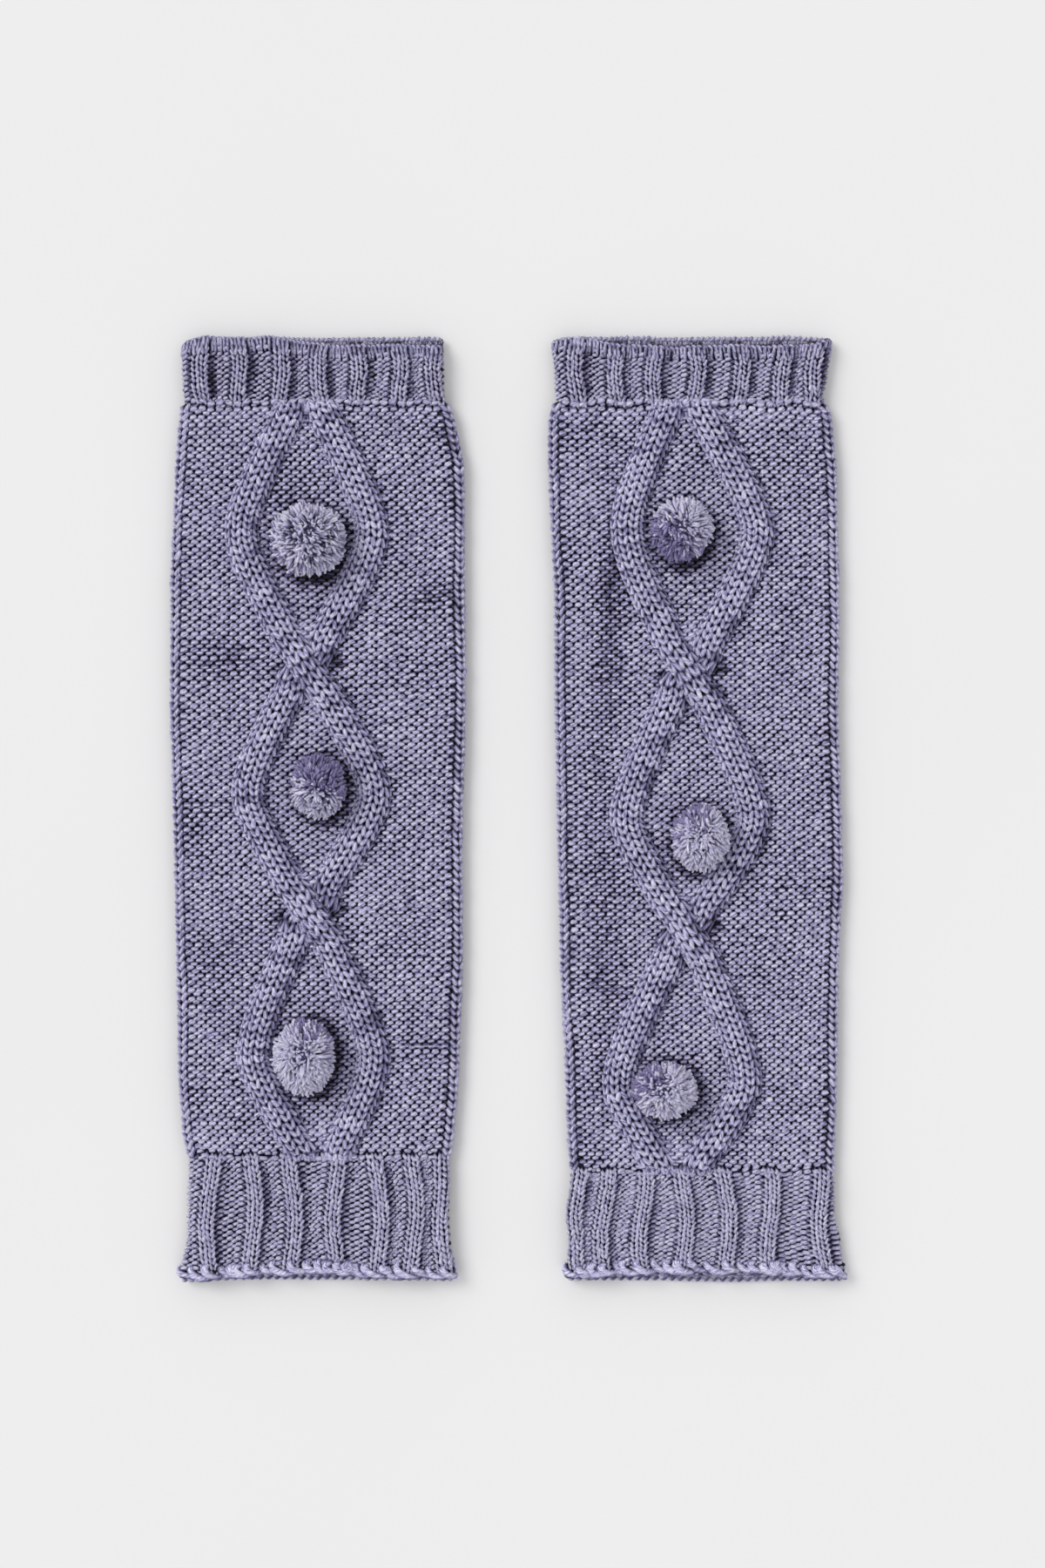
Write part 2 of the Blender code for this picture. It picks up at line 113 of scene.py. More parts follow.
def yarn_material(name, light, mid, dark, plies=9, turn_mm=8.0, bump_mm=0.3):
    """Plied yarn: streaks run along the plies, which turn round the strand once in turn_mm.

    p = round + along / turn_mm stays the same along a fibre. Noise over the circle
    (cos 2 pi p, sin 2 pi p) and slowly along the strand gives long seamless streaks. The rise
    of the strand paints shade into the colour: it darkens what lies deep between stitches, where
    little light gets in, and wherever the pieces lower it to paint shade.
    """
    made, tree = new_material(name)
    uv = add(tree, "ShaderNodeUVMap", {"uv_map": "yarn"})
    parts = add(tree, "ShaderNodeSeparateXYZ", {}, {0: uv.outputs[0]})
    along, around = parts.outputs["X"], parts.outputs["Y"]
    p = maths(tree, "ADD", maths(tree, "DIVIDE", along, turn_mm), around)
    angle = maths(tree, "MULTIPLY", p, 2.0 * math.pi)
    round_it = {0: maths(tree, "COSINE", angle), 1: maths(tree, "SINE", angle)}
    slowly = {2: maths(tree, "MULTIPLY", along, 0.16)}
    place = {"Vector": add(tree, "ShaderNodeCombineXYZ", {}, {**round_it, **slowly}).outputs[0]}
    fine = add(tree, "ShaderNodeTexNoise", {"Scale": 4.6, "Detail": 2.0, "Roughness": 0.6}, place)
    broad = add(tree, "ShaderNodeTexNoise", {"Scale": 1.3, "Detail": 1.0, "Roughness": 0.5}, place)
    both = {2: fine.outputs[0], 3: broad.outputs[0]}
    mixed = add(tree, "ShaderNodeMix", {"data_type": "FLOAT", 0: 0.35}, both)
    ply = maths(tree, "ABSOLUTE", maths(tree, "SINE", maths(tree, "MULTIPLY", p, math.pi * plies)))
    lined = maths(tree, "MULTIPLY_ADD", ply, 0.11, mixed.outputs[0])
    fibre = ramp(tree, lined, [(0.45, dark), (0.54, mid), (0.65, light)])
    rise = add(tree, "ShaderNodeAttribute", {"attribute_name": "rise"})
    # Painted shade: the yarn's colour is multiplied by this ramp, near black where the rise is low.
    tones = [(0.0, "#08050e"), (0.34, "#221e31"), (0.66, "#9c99b1"), (0.94, "#ffffff")]
    shade = ramp(tree, rise.outputs["Fac"], tones)
    times = {"data_type": "RGBA", "blend_type": "MULTIPLY", 0: 1.0}
    shaded = add(tree, "ShaderNodeMix", times, {6: fibre, 7: shade})
    height = {"Height": maths(tree, "MULTIPLY_ADD", ply, 0.6, fine.outputs[0])}
    bump = add(tree, "ShaderNodeBump", {"Strength": 0.8, "Distance": bump_mm * MM}, height)
    close_material(
        tree,
        {"Roughness": 0.92, "Sheen Weight": 0.12, "Sheen Roughness": 0.5, "Specular IOR Level": 0.15},
        {"Base Color": shaded.outputs[2], "Normal": bump.outputs[0]},
    )
    return made


def mesh_object(name, points, faces_of, material, uvs, rise=None):
    """Object from whole arrays. faces_of is (corner indices, first corner of each face)."""
    corners, starts = faces_of
    mesh = bpy.data.meshes.new(name)
    mesh.vertices.add(len(points))
    mesh.vertices.foreach_set("co", (points * MM).astype(np.float32).ravel())
    mesh.loops.add(len(corners))
    mesh.loops.foreach_set("vertex_index", corners.astype(np.int32))
    mesh.polygons.add(len(starts))
    mesh.polygons.foreach_set("loop_start", starts.astype(np.int32))
    for label, values in uvs.items():
        layer = mesh.uv_layers.new(name=label)
        layer.data.foreach_set("uv", values.astype(np.float32).ravel())
    if rise is not None:
        layer = mesh.attributes.new("rise", "FLOAT", "POINT")
        layer.data.foreach_set("value", rise.astype(np.float32))
    mesh.materials.append(material)
    mesh.update(calc_edges=True)
    mesh.shade_smooth()
    mesh.validate()
    made = bpy.data.objects.new(name, mesh)
    bpy.context.scene.collection.objects.link(made)
    return made


def spin_yarn(name, points, facing, strand, radius, out, sides, material, tip=0.55):
    """Tubes of yarn along strands of points in mm, whose centres count as standing out mm from the cloth
    for their painted shade.

    A ring's points are centre + radius * (cos a * up + sin a * side), with
    side = along x facing and up = side x along. strand numbers the strands in order. Both ends
    narrow to tip of the radius. OFBake gives every face its own place in a square of cells.
    """
    points = np.column_stack([points[:, :2], np.maximum(points[:, 2], radius)])
    same = strand[1:] == strand[:-1]
    step = np.where(same[:, None], points[1:] - points[:-1], 0.0)
    along = np.zeros_like(points)
    along[:-1] += step
    along[1:] += step
    along /= np.maximum(np.linalg.norm(along, axis=1, keepdims=True), 1e-9)
    side = np.cross(along, facing)
    side /= np.maximum(np.linalg.norm(side, axis=1, keepdims=True), 1e-9)
    up = np.cross(side, along)
    first = np.append(True, ~same)
    last = np.append(~same, True)
    radius = radius * np.where(first | last, tip, 1.0)
    a = 2.0 * math.pi * np.arange(sides) / sides
    rings = points[:, None, :] + radius[:, None, None] * (
        np.cos(a)[None, :, None] * up[:, None, :] + np.sin(a)[None, :, None] * side[:, None, :]
    )
    level = out[:, None] + radius[:, None] * np.cos(a)[None, :]
    rise = limited((level + RISE_FLOOR) / RISE_SPAN)
    starts = np.nonzero(same)[0]
    k = np.arange(sides)
    k1 = (k + 1) % sides
    here, after = starts[:, None] * sides, (starts[:, None] + 1) * sides
    quads = np.stack([here + k, here + k1, after + k1, after + k], axis=2).reshape(-1, 4)
    firsts = np.nonzero(first)[0]
    lasts = np.nonzero(last)[0]
    caps = np.concatenate([firsts[:, None] * sides + k[::-1], lasts[:, None] * sides + k])
    corners = np.concatenate([quads.ravel(), caps.ravel()])
    cap_starts = 4 * len(quads) + sides * np.arange(len(caps))
    face_starts = np.concatenate([4 * np.arange(len(quads)), cap_starts])
    run = np.cumsum(np.append(0.0, np.linalg.norm(step, axis=1)))
    run = run + STRAND_SHIFT * strand

    def pairs(*sheets):
        """Corner places (u, v) of several groups of faces, one after the other."""
        return np.concatenate([np.stack(sheet, axis=-1).reshape(-1, 2) for sheet in sheets])

    u0, u1 = run[starts], run[starts + 1]
    quad_u = np.stack([u0, u0, u1, u1], axis=1)[:, None, :].repeat(sides, axis=1)
    v0 = k / sides
    v1 = (k + 1) / sides
    quad_v = np.stack([v0, v1, v1, v0], axis=1)[None].repeat(len(starts), axis=0)
    cap_u = np.concatenate([run[firsts], run[lasts]])[:, None].repeat(sides, axis=1)
    cap_v = np.tile(v0, (len(caps), 1))
    yarn_uv = pairs((quad_u, quad_v), (cap_u, cap_v))
    cells = len(starts) + len(caps)
    columns = int(math.ceil(math.sqrt(cells)))
    cell = np.arange(cells)
    cx = (cell % columns) / columns
    cy = (cell // columns) / columns
    w = CELL_FILL / columns
    qx, qy = cx[: len(starts)], cy[: len(starts)]
    bake_u = np.stack([qx, qx, qx + w, qx + w], axis=1)[:, None, :].repeat(sides, axis=1)
    bake_v = qy[:, None, None] + w * np.stack([v0, v1, v1, v0], axis=1)[None]
    px, py = cx[len(starts) :], cy[len(starts) :]
    cap_bu = px[:, None] + w * (0.5 + 0.45 * np.cos(a))[None]
    cap_bv = py[:, None] + w * (0.5 + 0.45 * np.sin(a))[None]
    uvs = {"OFBake": pairs((bake_u, bake_v), (cap_bu, cap_bv)), "yarn": yarn_uv}
    faces_of = corners, face_starts
    return mesh_object(name, rings.reshape(-1, 3), faces_of, material, uvs, rise.ravel())


# Marled wool: light and dark fibres run side by side along the yarn, so it reads as grey from
# afar and as streaks close by.
marled = yarn_material("marled_wool_yarn", "#f2f0ff", "#c3c0ec", "#5a558c", bump_mm=0.38)

# How the tubes lie
# Each warmer is a flattened tube: level front and back, joined by round folds down both sides.
# These tables say where its edges, cords and ribs run, in mm, as in the CAD.

LAID_HEIGHT = 7.6
CROWN = 0.7
PAIR_MIDDLE = 0.65
MID_RADIUS = 2.15
ROW = 3.27
TOP_RIM = 200.0
BOTTOM_RIM = -200.0

# Columns of the tables, whose rows run from the top down or from left to right:
# outline: y, x of the left edge, x of the right edge
# cable: y, x of the left cord, x of the right cord; the cords meet where both are the same
# top_ribs and bottom_ribs: x of a rib's middle at the cuff's upper end and at its lower end
# ends: y where the leg meets the top cuff, y where it meets the bottom cuff
# creases: x, y, half length, half width, depth, turn in degrees
# fold_line_shade: how much shade is painted along the left and right fold line
# rim, back_rim and hem: x, and how far that edge stays from the top or bottom there
# pompoms: x, y, width, length, height
WARMERS = {
    "left": {
        "outline": (
            (200.0, -138.3, -26.0), (186.0, -138.9, -25.6), (172.7, -138.0, -25.1),
            (163.8, -139.5, -21.4), (146.1, -141.0, -17.7), (93.0, -143.2, -17.3),
            (39.9, -143.2, -17.0), (-13.3, -141.7, -18.5), (-66.4, -140.6, -18.1),
            (-110.7, -139.9, -19.9), (-137.3, -138.0, -21.8), (-148.3, -135.8, -23.6),
            (-181.5, -136.2, -22.9), (-193.4, -139.1, -21.0), (-200.0, -139.5, -20.6),
        ),
        "cable": (
            (169.7, -91.1, -79.0), (116.6, -112.2, -57.2), (60.1, -84.9, -84.9), (6.6, -109.2, -56.1),
            (-44.3, -83.4, -83.4), (-104.8, -107.0, -56.5), (-145.4, -86.7, -71.6),
        ),
        "top_ribs": (
            (-129.9, -129.0), (-114.0, -113.2), (-95.6, -95.9), (-79.5, -79.2), (-63.5, -63.3),
            (-46.1, -45.2), (-31.3, -30.0),
        ),
        "bottom_ribs": (
            (-125.4, -126.2), (-108.1, -107.6), (-91.2, -91.0), (-72.5, -72.0), (-54.8, -54.2),
            (-40.0, -39.4), (-27.6, -26.6),
        ),
        "ends": (171.0, -147.0),
        "creases": (
            (-26.0, 159.0, 11.0, 4.0, 0.9, -58.0), (-34.0, 160.0, 9.0, 2.4, 1.0, -35.0),
            (-122.0, 67.0, 24.0, 2.6, 0.9, -3.0), (-124.0, 59.5, 19.0, 2.4, 0.9, 4.0),
            (-128.0, 0.5, 18.0, 2.4, 1.1, -3.0), (-33.0, 89.0, 20.0, 5.0, 1.0, 22.0),
            (-113.0, -61.0, 20.0, 9.0, 0.7, 30.0), (-35.0, -100.5, 20.0, 1.8, 1.1, 0.0),
            (-33.0, -107.0, 16.0, 1.8, 0.7, 4.0), (-116.0, -170.0, 8.0, 3.4, 1.1, 60.0),
        ),
        "fold_line_shade": (0.0, 0.6),
        "rim": (
            (-140.0, 4.6), (-136.0, 2.4), (-131.0, 0.8), (-127.0, 0.2), (-111.0, 1.1), (-103.0, 0.3),
            (-90.0, 2.2), (-70.0, 4.4), (-52.0, 3.6), (-30.0, 4.6), (-24.0, 2.6),
        ),
        "back_rim": (
            (-140.0, 4.6), (-136.0, 2.4), (-131.0, 1.0), (-127.0, 0.7), (-29.0, 0.3), (-25.0, 1.8),
        ),
        "hem": (
            (-140.0, 0.0), (-118.0, 0.6), (-104.0, 2.6), (-72.0, 2.6), (-60.0, 0.8), (-20.0, 0.4),
        ),
        "pompoms": (
            (-83.4, 112.9, 33.0, 31.6, 23.0), (-79.2, 9.2, 24.0, 28.0, 20.0),
            (-85.2, -104.4, 27.0, 33.0, 21.0),
        ),
        "seed": 11,
    },
    "right": {
        "outline": (
            (200.0, 17.9, 138.8), (186.0, 19.2, 137.3), (174.2, 19.9, 134.7), (165.3, 17.3, 138.4),
            (146.1, 17.0, 140.2), (93.0, 19.6, 141.3), (39.9, 19.9, 141.0), (-31.0, 21.4, 143.2),
            (-66.4, 22.1, 141.0), (-101.8, 24.0, 140.6), (-128.4, 24.7, 139.9), (-155.0, 26.2, 139.1),
            (-172.7, 24.0, 140.2), (-181.5, 25.1, 142.8), (-200.0, 24.2, 144.5),
        ),
        "cable": (
            (169.0, 68.3, 81.9), (117.7, 51.3, 106.3), (57.6, 77.1, 77.1), (-4.4, 50.9, 104.4),
            (-52.0, 76.4, 76.4), (-115.9, 47.6, 100.7), (-151.3, 64.9, 80.1),
        ),
        "top_ribs": (
            (28.6, 30.2), (45.6, 46.8), (62.1, 62.4), (79.8, 80.2), (98.6, 98.8), (117.0, 116.2),
            (131.4, 129.0),
        ),
        "bottom_ribs": (
            (29.6, 29.0), (41.6, 40.6), (57.5, 57.2), (74.4, 74.8), (92.1, 93.2), (110.8, 111.9),
            (131.8, 134.6),
        ),
        "ends": (171.0, -153.4),
        "creases": (
            (127.0, 162.0, 12.0, 4.0, 0.6, 40.0), (132.0, -36.0, 12.0, 3.0, 0.6, -6.0),
            (33.0, -150.0, 11.0, 4.0, 0.6, 24.0), (44.0, 90.0, 62.0, 7.0, 1.3, 88.0),
            (40.0, -40.0, 50.0, 7.0, 1.1, 92.0), (41.0, -75.0, 14.0, 3.0, 0.8, -12.0),
            (34.0, 161.0, 11.0, 3.0, 0.8, 28.0), (30.0, -181.0, 8.0, 4.0, 1.0, 78.0),
        ),
        "fold_line_shade": (0.6, 0.5),
        "rim": (
            (18.0, 1.9), (22.0, 0.5), (34.0, 1.0), (46.0, 4.0), (70.0, 4.8), (92.0, 3.9), (118.0, 4.6),
            (130.0, 3.4), (135.0, 1.2), (139.0, 2.0),
        ),
        "back_rim": (
            (18.0, 1.9), (22.0, 0.6), (30.0, 0.3), (130.0, 0.2), (135.0, 0.6), (139.0, 2.0),
        ),
        "hem": (
            (20.0, 0.0), (34.0, 1.0), (46.0, 2.6), (104.0, 2.8), (116.0, 2.4), (128.0, 0.8),
            (144.0, 0.4),
        ),
        "pompoms": (
            (73.4, 117.3, 27.0, 28.0, 20.0), (81.5, -12.5, 25.0, 29.0, 20.0),
            (66.4, -118.4, 28.0, 25.0, 20.0),
        ),
        "seed": 23,
    },
}


def column(table, index):
    """One column of a table, from the bottom up."""
    return np.array([row[index] for row in table])[::-1]


def edges(warmer, y):
    """Left and right edge of the outline at heights y."""
    heights = column(warmer["outline"], 0)
    left = np.interp(y, heights, column(warmer["outline"], 1))
    right = np.interp(y, heights, column(warmer["outline"], 2))
    return left - PAIR_MIDDLE, right - PAIR_MIDDLE


def mouth_lift(y):
    """How much further the layers stand apart near either mouth."""
    near = limited(1.0 - (TOP_RIM - 3.0 - np.abs(y)) / 16.0)
    return near**2


def flat_span(warmer, y):
    """Left end, width and half height of the level part at heights y."""
    left, right = edges(warmer, y)
    half = 0.5 * (LAID_HEIGHT + mouth_lift(y))
    return left + half, right - left - 2.0 * half, half


def fold_arc(half):
    """Length of yarn from the level part to the outer line of a fold."""
    return 0.5 * math.pi * (MID_RADIUS + half - 0.5 * LAID_HEIGHT)


def on_tube(warmer, a, y, face):
    """Point and outward direction on the tube's middle surface.

    a is measured across from the left end of the level part, and goes on round the folds
    on both sides; face is 1 for the front and -1 for the back.
    """
    flat_left, width, half = flat_span(warmer, y)
    radius = MID_RADIUS + half - 0.5 * LAID_HEIGHT
    left_turn = np.clip(-a / radius, 0.0, 0.5 * math.pi)
    right_turn = np.clip((a - width) / radius, 0.0, 0.5 * math.pi)
    level = np.cos(left_turn) * np.cos(right_turn)
    x = flat_left + np.clip(a, 0.0, width) + radius * (np.sin(right_turn) - np.sin(left_turn))
    z = half + face * radius * level
    out = np.stack([np.sin(right_turn) - np.sin(left_turn), 0.0 * x, face * level], axis=-1)
    return np.stack([x, y + 0.0 * x, z], axis=-1), out


def waves(x, y, seed, size):
    """Slow unevenness from a few crossing sine waves of wavelength near size."""
    rng = np.random.default_rng(seed)
    total = np.zeros(np.broadcast(x, y).shape)
    for _ in range(5):
        turn = rng.uniform(0.0, math.pi)
        length = size * rng.uniform(0.6, 1.6)
        phase = rng.uniform(0.0, 2.0 * math.pi)
        total = total + np.sin(
            2.0 * math.pi * (x * math.cos(turn) + y * math.sin(turn)) / length + phase
        )
    return total / 5.0


def front_relief(warmer, x, y):
    """Crown, creases and slow unevenness of the front's level part."""
    left, right = edges(warmer, y)
    middle = 0.5 * (left + right)
    share = np.clip((x - middle) / (0.5 * (right - left)), -1.0, 1.0)
    return CROWN * (1.0 - share**4) + 0.35 * waves(x, y, warmer["seed"], 46.0) - creased(warmer, x, y)


def creased(warmer, x, y):
    """Depth of the creases: soft troughs, each with its place, half length, half width and turn."""
    total = 0.0 * x
    for at_x, at_y, half_long, half_wide, depth, turn in warmer["creases"]:
        dx = x - (at_x - PAIR_MIDDLE)
        dy = y - at_y
        c, s = math.cos(math.radians(turn)), math.sin(math.radians(turn))
        long, wide = (dx * c + dy * s) / half_long, (dy * c - dx * s) / half_wide
        total = total + depth * np.exp(-(long**2) - wide**2)
    return total


def lay(warmer, a, y, face, out, relief):
    """Yarn centres at a, y, raised by out from the tube and by relief on its level part."""
    place, facing = on_tube(warmer, a, y, face)
    if relief is not None:
        step = 0.6
        here = relief(warmer, place[..., 0], place[..., 1])
        dx = (relief(warmer, place[..., 0] + step, place[..., 1]) - here) / step
        dy = (relief(warmer, place[..., 0], place[..., 1] + step) - here) / step
        level = limited(np.abs(facing[..., 2])) ** 2
        place[..., 2] += face * here * level
        facing[..., 0] -= dx * level
        facing[..., 1] -= dy * level
    facing /= np.linalg.norm(facing, axis=-1, keepdims=True)
    return place + facing * out[..., None], facing


def per_wale(values, q):
    """Values given at wale boundaries (rows, wales + 1), read at places q along the course."""
    top = values.shape[1] - 1
    q = np.broadcast_to(np.clip(q, 0.0, top), (values.shape[0], np.shape(q)[-1]))
    base = np.minimum(q.astype(int), top - 1)
    part = q - base
    low = np.take_along_axis(values, base, axis=1)
    high = np.take_along_axis(values, base + 1, axis=1)
    return low * (1.0 - part) + high * part


def squared(wave, face):
    """The wave with flatter crests where face is 1, and as it is where face is -1."""
    flat = np.tanh(1.2 * wave) / math.tanh(1.2)
    return wave + (flat - wave) * (0.5 + 0.5 * face)


BUMP_SPAN = np.array([-52.0, -18.0, 18.0, 52.0])
LEG_SPAN = np.array([-62.0, -22.0, 22.0, 62.0])


def knit(
    warmer, y, bounds, faces, row, face, relief, seed, depth=1.1, purl_lean=0.25, knit_lean=0.29,
    radius=1.11, loop=0.76, tilt=0.13, wobble=1.0, shift=None, spans=(BUMP_SPAN, LEG_SPAN), leg_size=1.0,
):
    """Courses of loops: arrays of points, facings, radii, rises, what shows and run numbers.

    With t running through one turn a stitch, a loop's place across is q + lean sin 2t, along
    y + loop * row * squared(cos t) + tilt sin 2t, and out face * depth * cos 2t: a purl stitch
    shows its head and foot, and a knit one (face -1) its two legs as a V. Only the lengths that
    show are spun, through BUMP_SPAN degrees of t about a head or foot, or LEG_SPAN about a leg,
    whose upper end lies behind the next course and its lower end before the last.
    """
    rng = np.random.default_rng(seed)
    rows, count = bounds.shape[0], bounds.shape[1] - 1
    quarter = np.arange(-1, 4 * count - 2)
    samples = len(spans[0])
    about = np.where(quarter[:, None] % 2 == 1, spans[1], spans[0])
    t = np.radians(90.0 * quarter[:, None] + about).ravel()
    run = np.repeat(np.arange(len(quarter)), samples)
    q0 = t / (2.0 * math.pi) + 0.5

    def noise(size):
        """Unevenness that changes slowly from wale to wale."""
        return per_wale(rng.normal(0.0, size * wobble, (rows, count + 1)), q0)

    def own(size):
        """Unevenness of each head, foot or leg by itself."""
        return np.repeat(rng.normal(0.0, size * wobble, (rows, len(quarter))), samples, axis=1)

    padded = np.concatenate([faces[:, :1], faces, faces[:, -1:]], axis=1)
    centre = 0.25 * quarter + 1.0
    base = centre.astype(int)
    part = limited((centre - base - 0.25) / 0.5)
    turned = np.repeat(padded[:, base] * (1.0 - part) + padded[:, base + 1] * part, samples, axis=1)
    is_leg = np.repeat(quarter % 2 == 1, samples)
    keep = np.where(is_leg, turned < 0.1, turned > -0.1)
    lean = 0.5 * (purl_lean + knit_lean) + 0.5 * (purl_lean - knit_lean) * turned
    q = q0 + lean * np.sin(2.0 * t)
    a = per_wale(bounds, q) + noise(0.14) + own(0.08)
    reach = (loop + 0.12 * is_leg) * np.broadcast_to(row, y.shape)[:, None]
    along = y[:, None] + reach * squared(np.cos(t), turned) + noise(0.12) + own(0.07)
    along = along + (tilt + own(0.1)) * np.sin(2.0 * t)
    if shift is not None:
        along = along + shift(a, along)
    a = a + per_wale(np.gradient(bounds, y, axis=0), q) * (along - y[:, None])
    out = turned * depth * np.cos(2.0 * t) - 0.4 * depth * is_leg * np.cos(t) + noise(0.1) + own(0.09)
    place, facing = lay(warmer, a, along, face, out, relief)
    head = np.cos(np.repeat(0.5 * math.pi * quarter, samples))
    size = radius * (1.0 + own(0.07)) * np.where(turned > 0.0, 1.0 + 0.08 * head, leg_size)
    return place, facing, size, out, keep, run


def strands(place, facing, size, out, keep=None, run=None):
    """Flattens courses to strands: one to a course, or one to a run of it, where keep is true."""
    rows, samples = size.shape
    if run is None:
        run = np.zeros(samples, int)
    label = (np.arange(rows)[:, None] * (int(run.max()) + 1) + run[None, :]).ravel()
    pick = np.ones(rows * samples, bool) if keep is None else keep.ravel()
    pick = pick & (np.bincount(label, weights=pick)[label] > 2)
    number = np.cumsum(np.diff(label[pick], prepend=label[pick][0]) != 0)
    flat = place.reshape(-1, 3)[pick], facing.reshape(-1, 3)[pick], number
    return (*flat, np.broadcast_to(size, (rows, samples)).ravel()[pick], out.ravel()[pick])


def together(*groups):
    """Several groups of strands as one."""
    parts = []
    shift = 0
    for place, facing, number, size, out in groups:
        parts.append((place, facing, number + shift, size, out))
        shift += int(number.max()) + 1
    return tuple(np.concatenate([p[i] for p in parts]) for i in range(5))


# Cable tracks
# Both cords run down the leg, part round each pompom and cross twice; the one that comes from
# the upper left lies on top. A track gives a cord's middle, slope and lift at every height.

MEETING_REACH = 9.5
MEETING_SPREAD = 6.6
ELBOW_ROUNDING = 0.24
CROSSING_REACH = 13.0
OVER_LIFT = 2.2
UNDER_LIFT = -1.4


def softened(t):
    """Rise from 0 to 1 that runs straight and rounds off into a level elbow at t = 1."""
    top = math.hypot(1.0, ELBOW_ROUNDING)
    return (top - np.hypot(1.0 - t, ELBOW_ROUNDING)) / (top - ELBOW_ROUNDING)


def cable_tracks(warmer):
    """Heights, and for each cord its x, slope and lift there.

    offset is a cord's distance from the cable's middle. It runs straight from row to row of the
    table with softened elbows, and changes sides as a half cosine where the cords meet. There
    one cord is lifted and the other pressed down, by cos squared of the distance up or down.
    """
    cable = warmer["cable"]
    nodes = []
    side = -1.0
    for row_y, left, right in cable:
        if left == right:
            nodes.append((row_y + MEETING_REACH, side * MEETING_SPREAD))
            side = -side
            nodes.append((row_y - MEETING_REACH, side * MEETING_SPREAD))
        else:
            nodes.append((row_y, side * 0.5 * (right - left)))
    y = np.arange(cable[-1][0] - 8.0, cable[0][0] + 8.0, 0.25)
    halfway = 0.5 * (column(cable, 1) + column(cable, 2))
    middle = np.interp(y, column(cable, 0), halfway) - PAIR_MIDDLE
    offset = np.full_like(y, nodes[0][1])
    offset[y < nodes[-1][0]] = nodes[-1][1]
    for (upper_y, upper), (lower_y, lower) in zip(nodes, nodes[1:]):
        here = (y <= upper_y) & (y >= lower_y)
        part = (upper_y - y[here]) / (upper_y - lower_y)
        if upper == -lower:
            offset[here] = upper * np.cos(math.pi * part)
        elif abs(lower) > abs(upper):
            offset[here] = upper + (lower - upper) * softened(part)
        else:
            offset[here] = lower + (upper - lower) * softened(1.0 - part)
    kernel = np.hanning(19)
    kernel /= kernel.sum()
    tracks = []
    for sign in (1.0, -1.0):
        own = sign * offset
        lift = np.zeros_like(y)
        for crossing in (cable[2][0], cable[4][0]):
            place = (y - crossing) / MEETING_REACH
            upper = np.interp(crossing + MEETING_REACH, y, own)
            over = upper < 0.0
            turn = 0.86 * place if over else np.tanh(2.6 * place)
            own = np.where(np.abs(place) < 1.0, upper * turn * (1.0 if over else 1.05), own)
            share = np.cos(0.5 * math.pi * limited(np.abs(y - crossing) / CROSSING_REACH)) ** 2
            lift += share * (OVER_LIFT if over else UNDER_LIFT)
        own = np.convolve(np.pad(own, 9, mode="edge"), kernel, mode="valid")
        x = middle + own
        tracks.append((x, np.gradient(x, y), lift))
    return y, tracks


# Leg fronts
# Purl ground in 30 wales, one course of yarn to each row; the outermost wale at each fold is
# knit. The yarn is left out where a cord covers it.

LEG_WALES = 30
SMOOTHED_OVER = 26.0
CORD_COVER = 4.7
CORD_FOOT = 6.6
# Row of the cable table, and how far above it the ground bunches up in a lozenge's lower corner
BUNCHES = ((2, 15.0), (4, 15.0), (6, 8.0))


def leg_rows(warmer):
    """Heights of the leg's rows, and the height of one."""
    top, bottom = warmer["ends"]
    rows = int(round((top - bottom) / ROW))
    return bottom + (np.arange(rows) + 0.5) * (top - bottom) / rows, (top - bottom) / rows


def leg_bounds(warmer, y, count):
    """Where the boundaries of count wales lie across, for each row.

    They follow edges averaged over SMOOTHED_OVER mm up and down; the outermost few wales take
    up the difference.
    """
    _, width, half = flat_span(warmer, y)
    arc = fold_arc(half)[:, None]
    share = np.linspace(0.0, 1.0, count + 1)[None, :]
    bottom, top = min(y), max(y)
    left, right = edges(warmer, y)
    about = y[:, None] + np.linspace(-SMOOTHED_OVER, SMOOTHED_OVER, 9)
    near_left, near_right = edges(warmer, np.clip(about, bottom, top))
    off_left = (left - near_left.mean(axis=1))[:, None]
    off_right = (right - near_right.mean(axis=1))[:, None]
    even = -arc + share * (width[:, None] + 2.0 * arc)
    left_pull = (1.0 - share) ** 8 - (1.0 - share)
    right_pull = share**8 - share
    return even + off_left * left_pull + off_right * right_pull


def bell(x):
    """1 where x is 0, and exp(-x squared) away from it."""
    return np.exp(-(x**2))


def seam_wave(warmer, a, along):
    """Small ups and downs of the rows where the leg meets each cuff."""
    near = sum(bell((along - end) / 5.0) for end in warmer["ends"])
    return 1.3 * near * waves(a, 0.0 * a, warmer["seed"] + 20, 15.0)


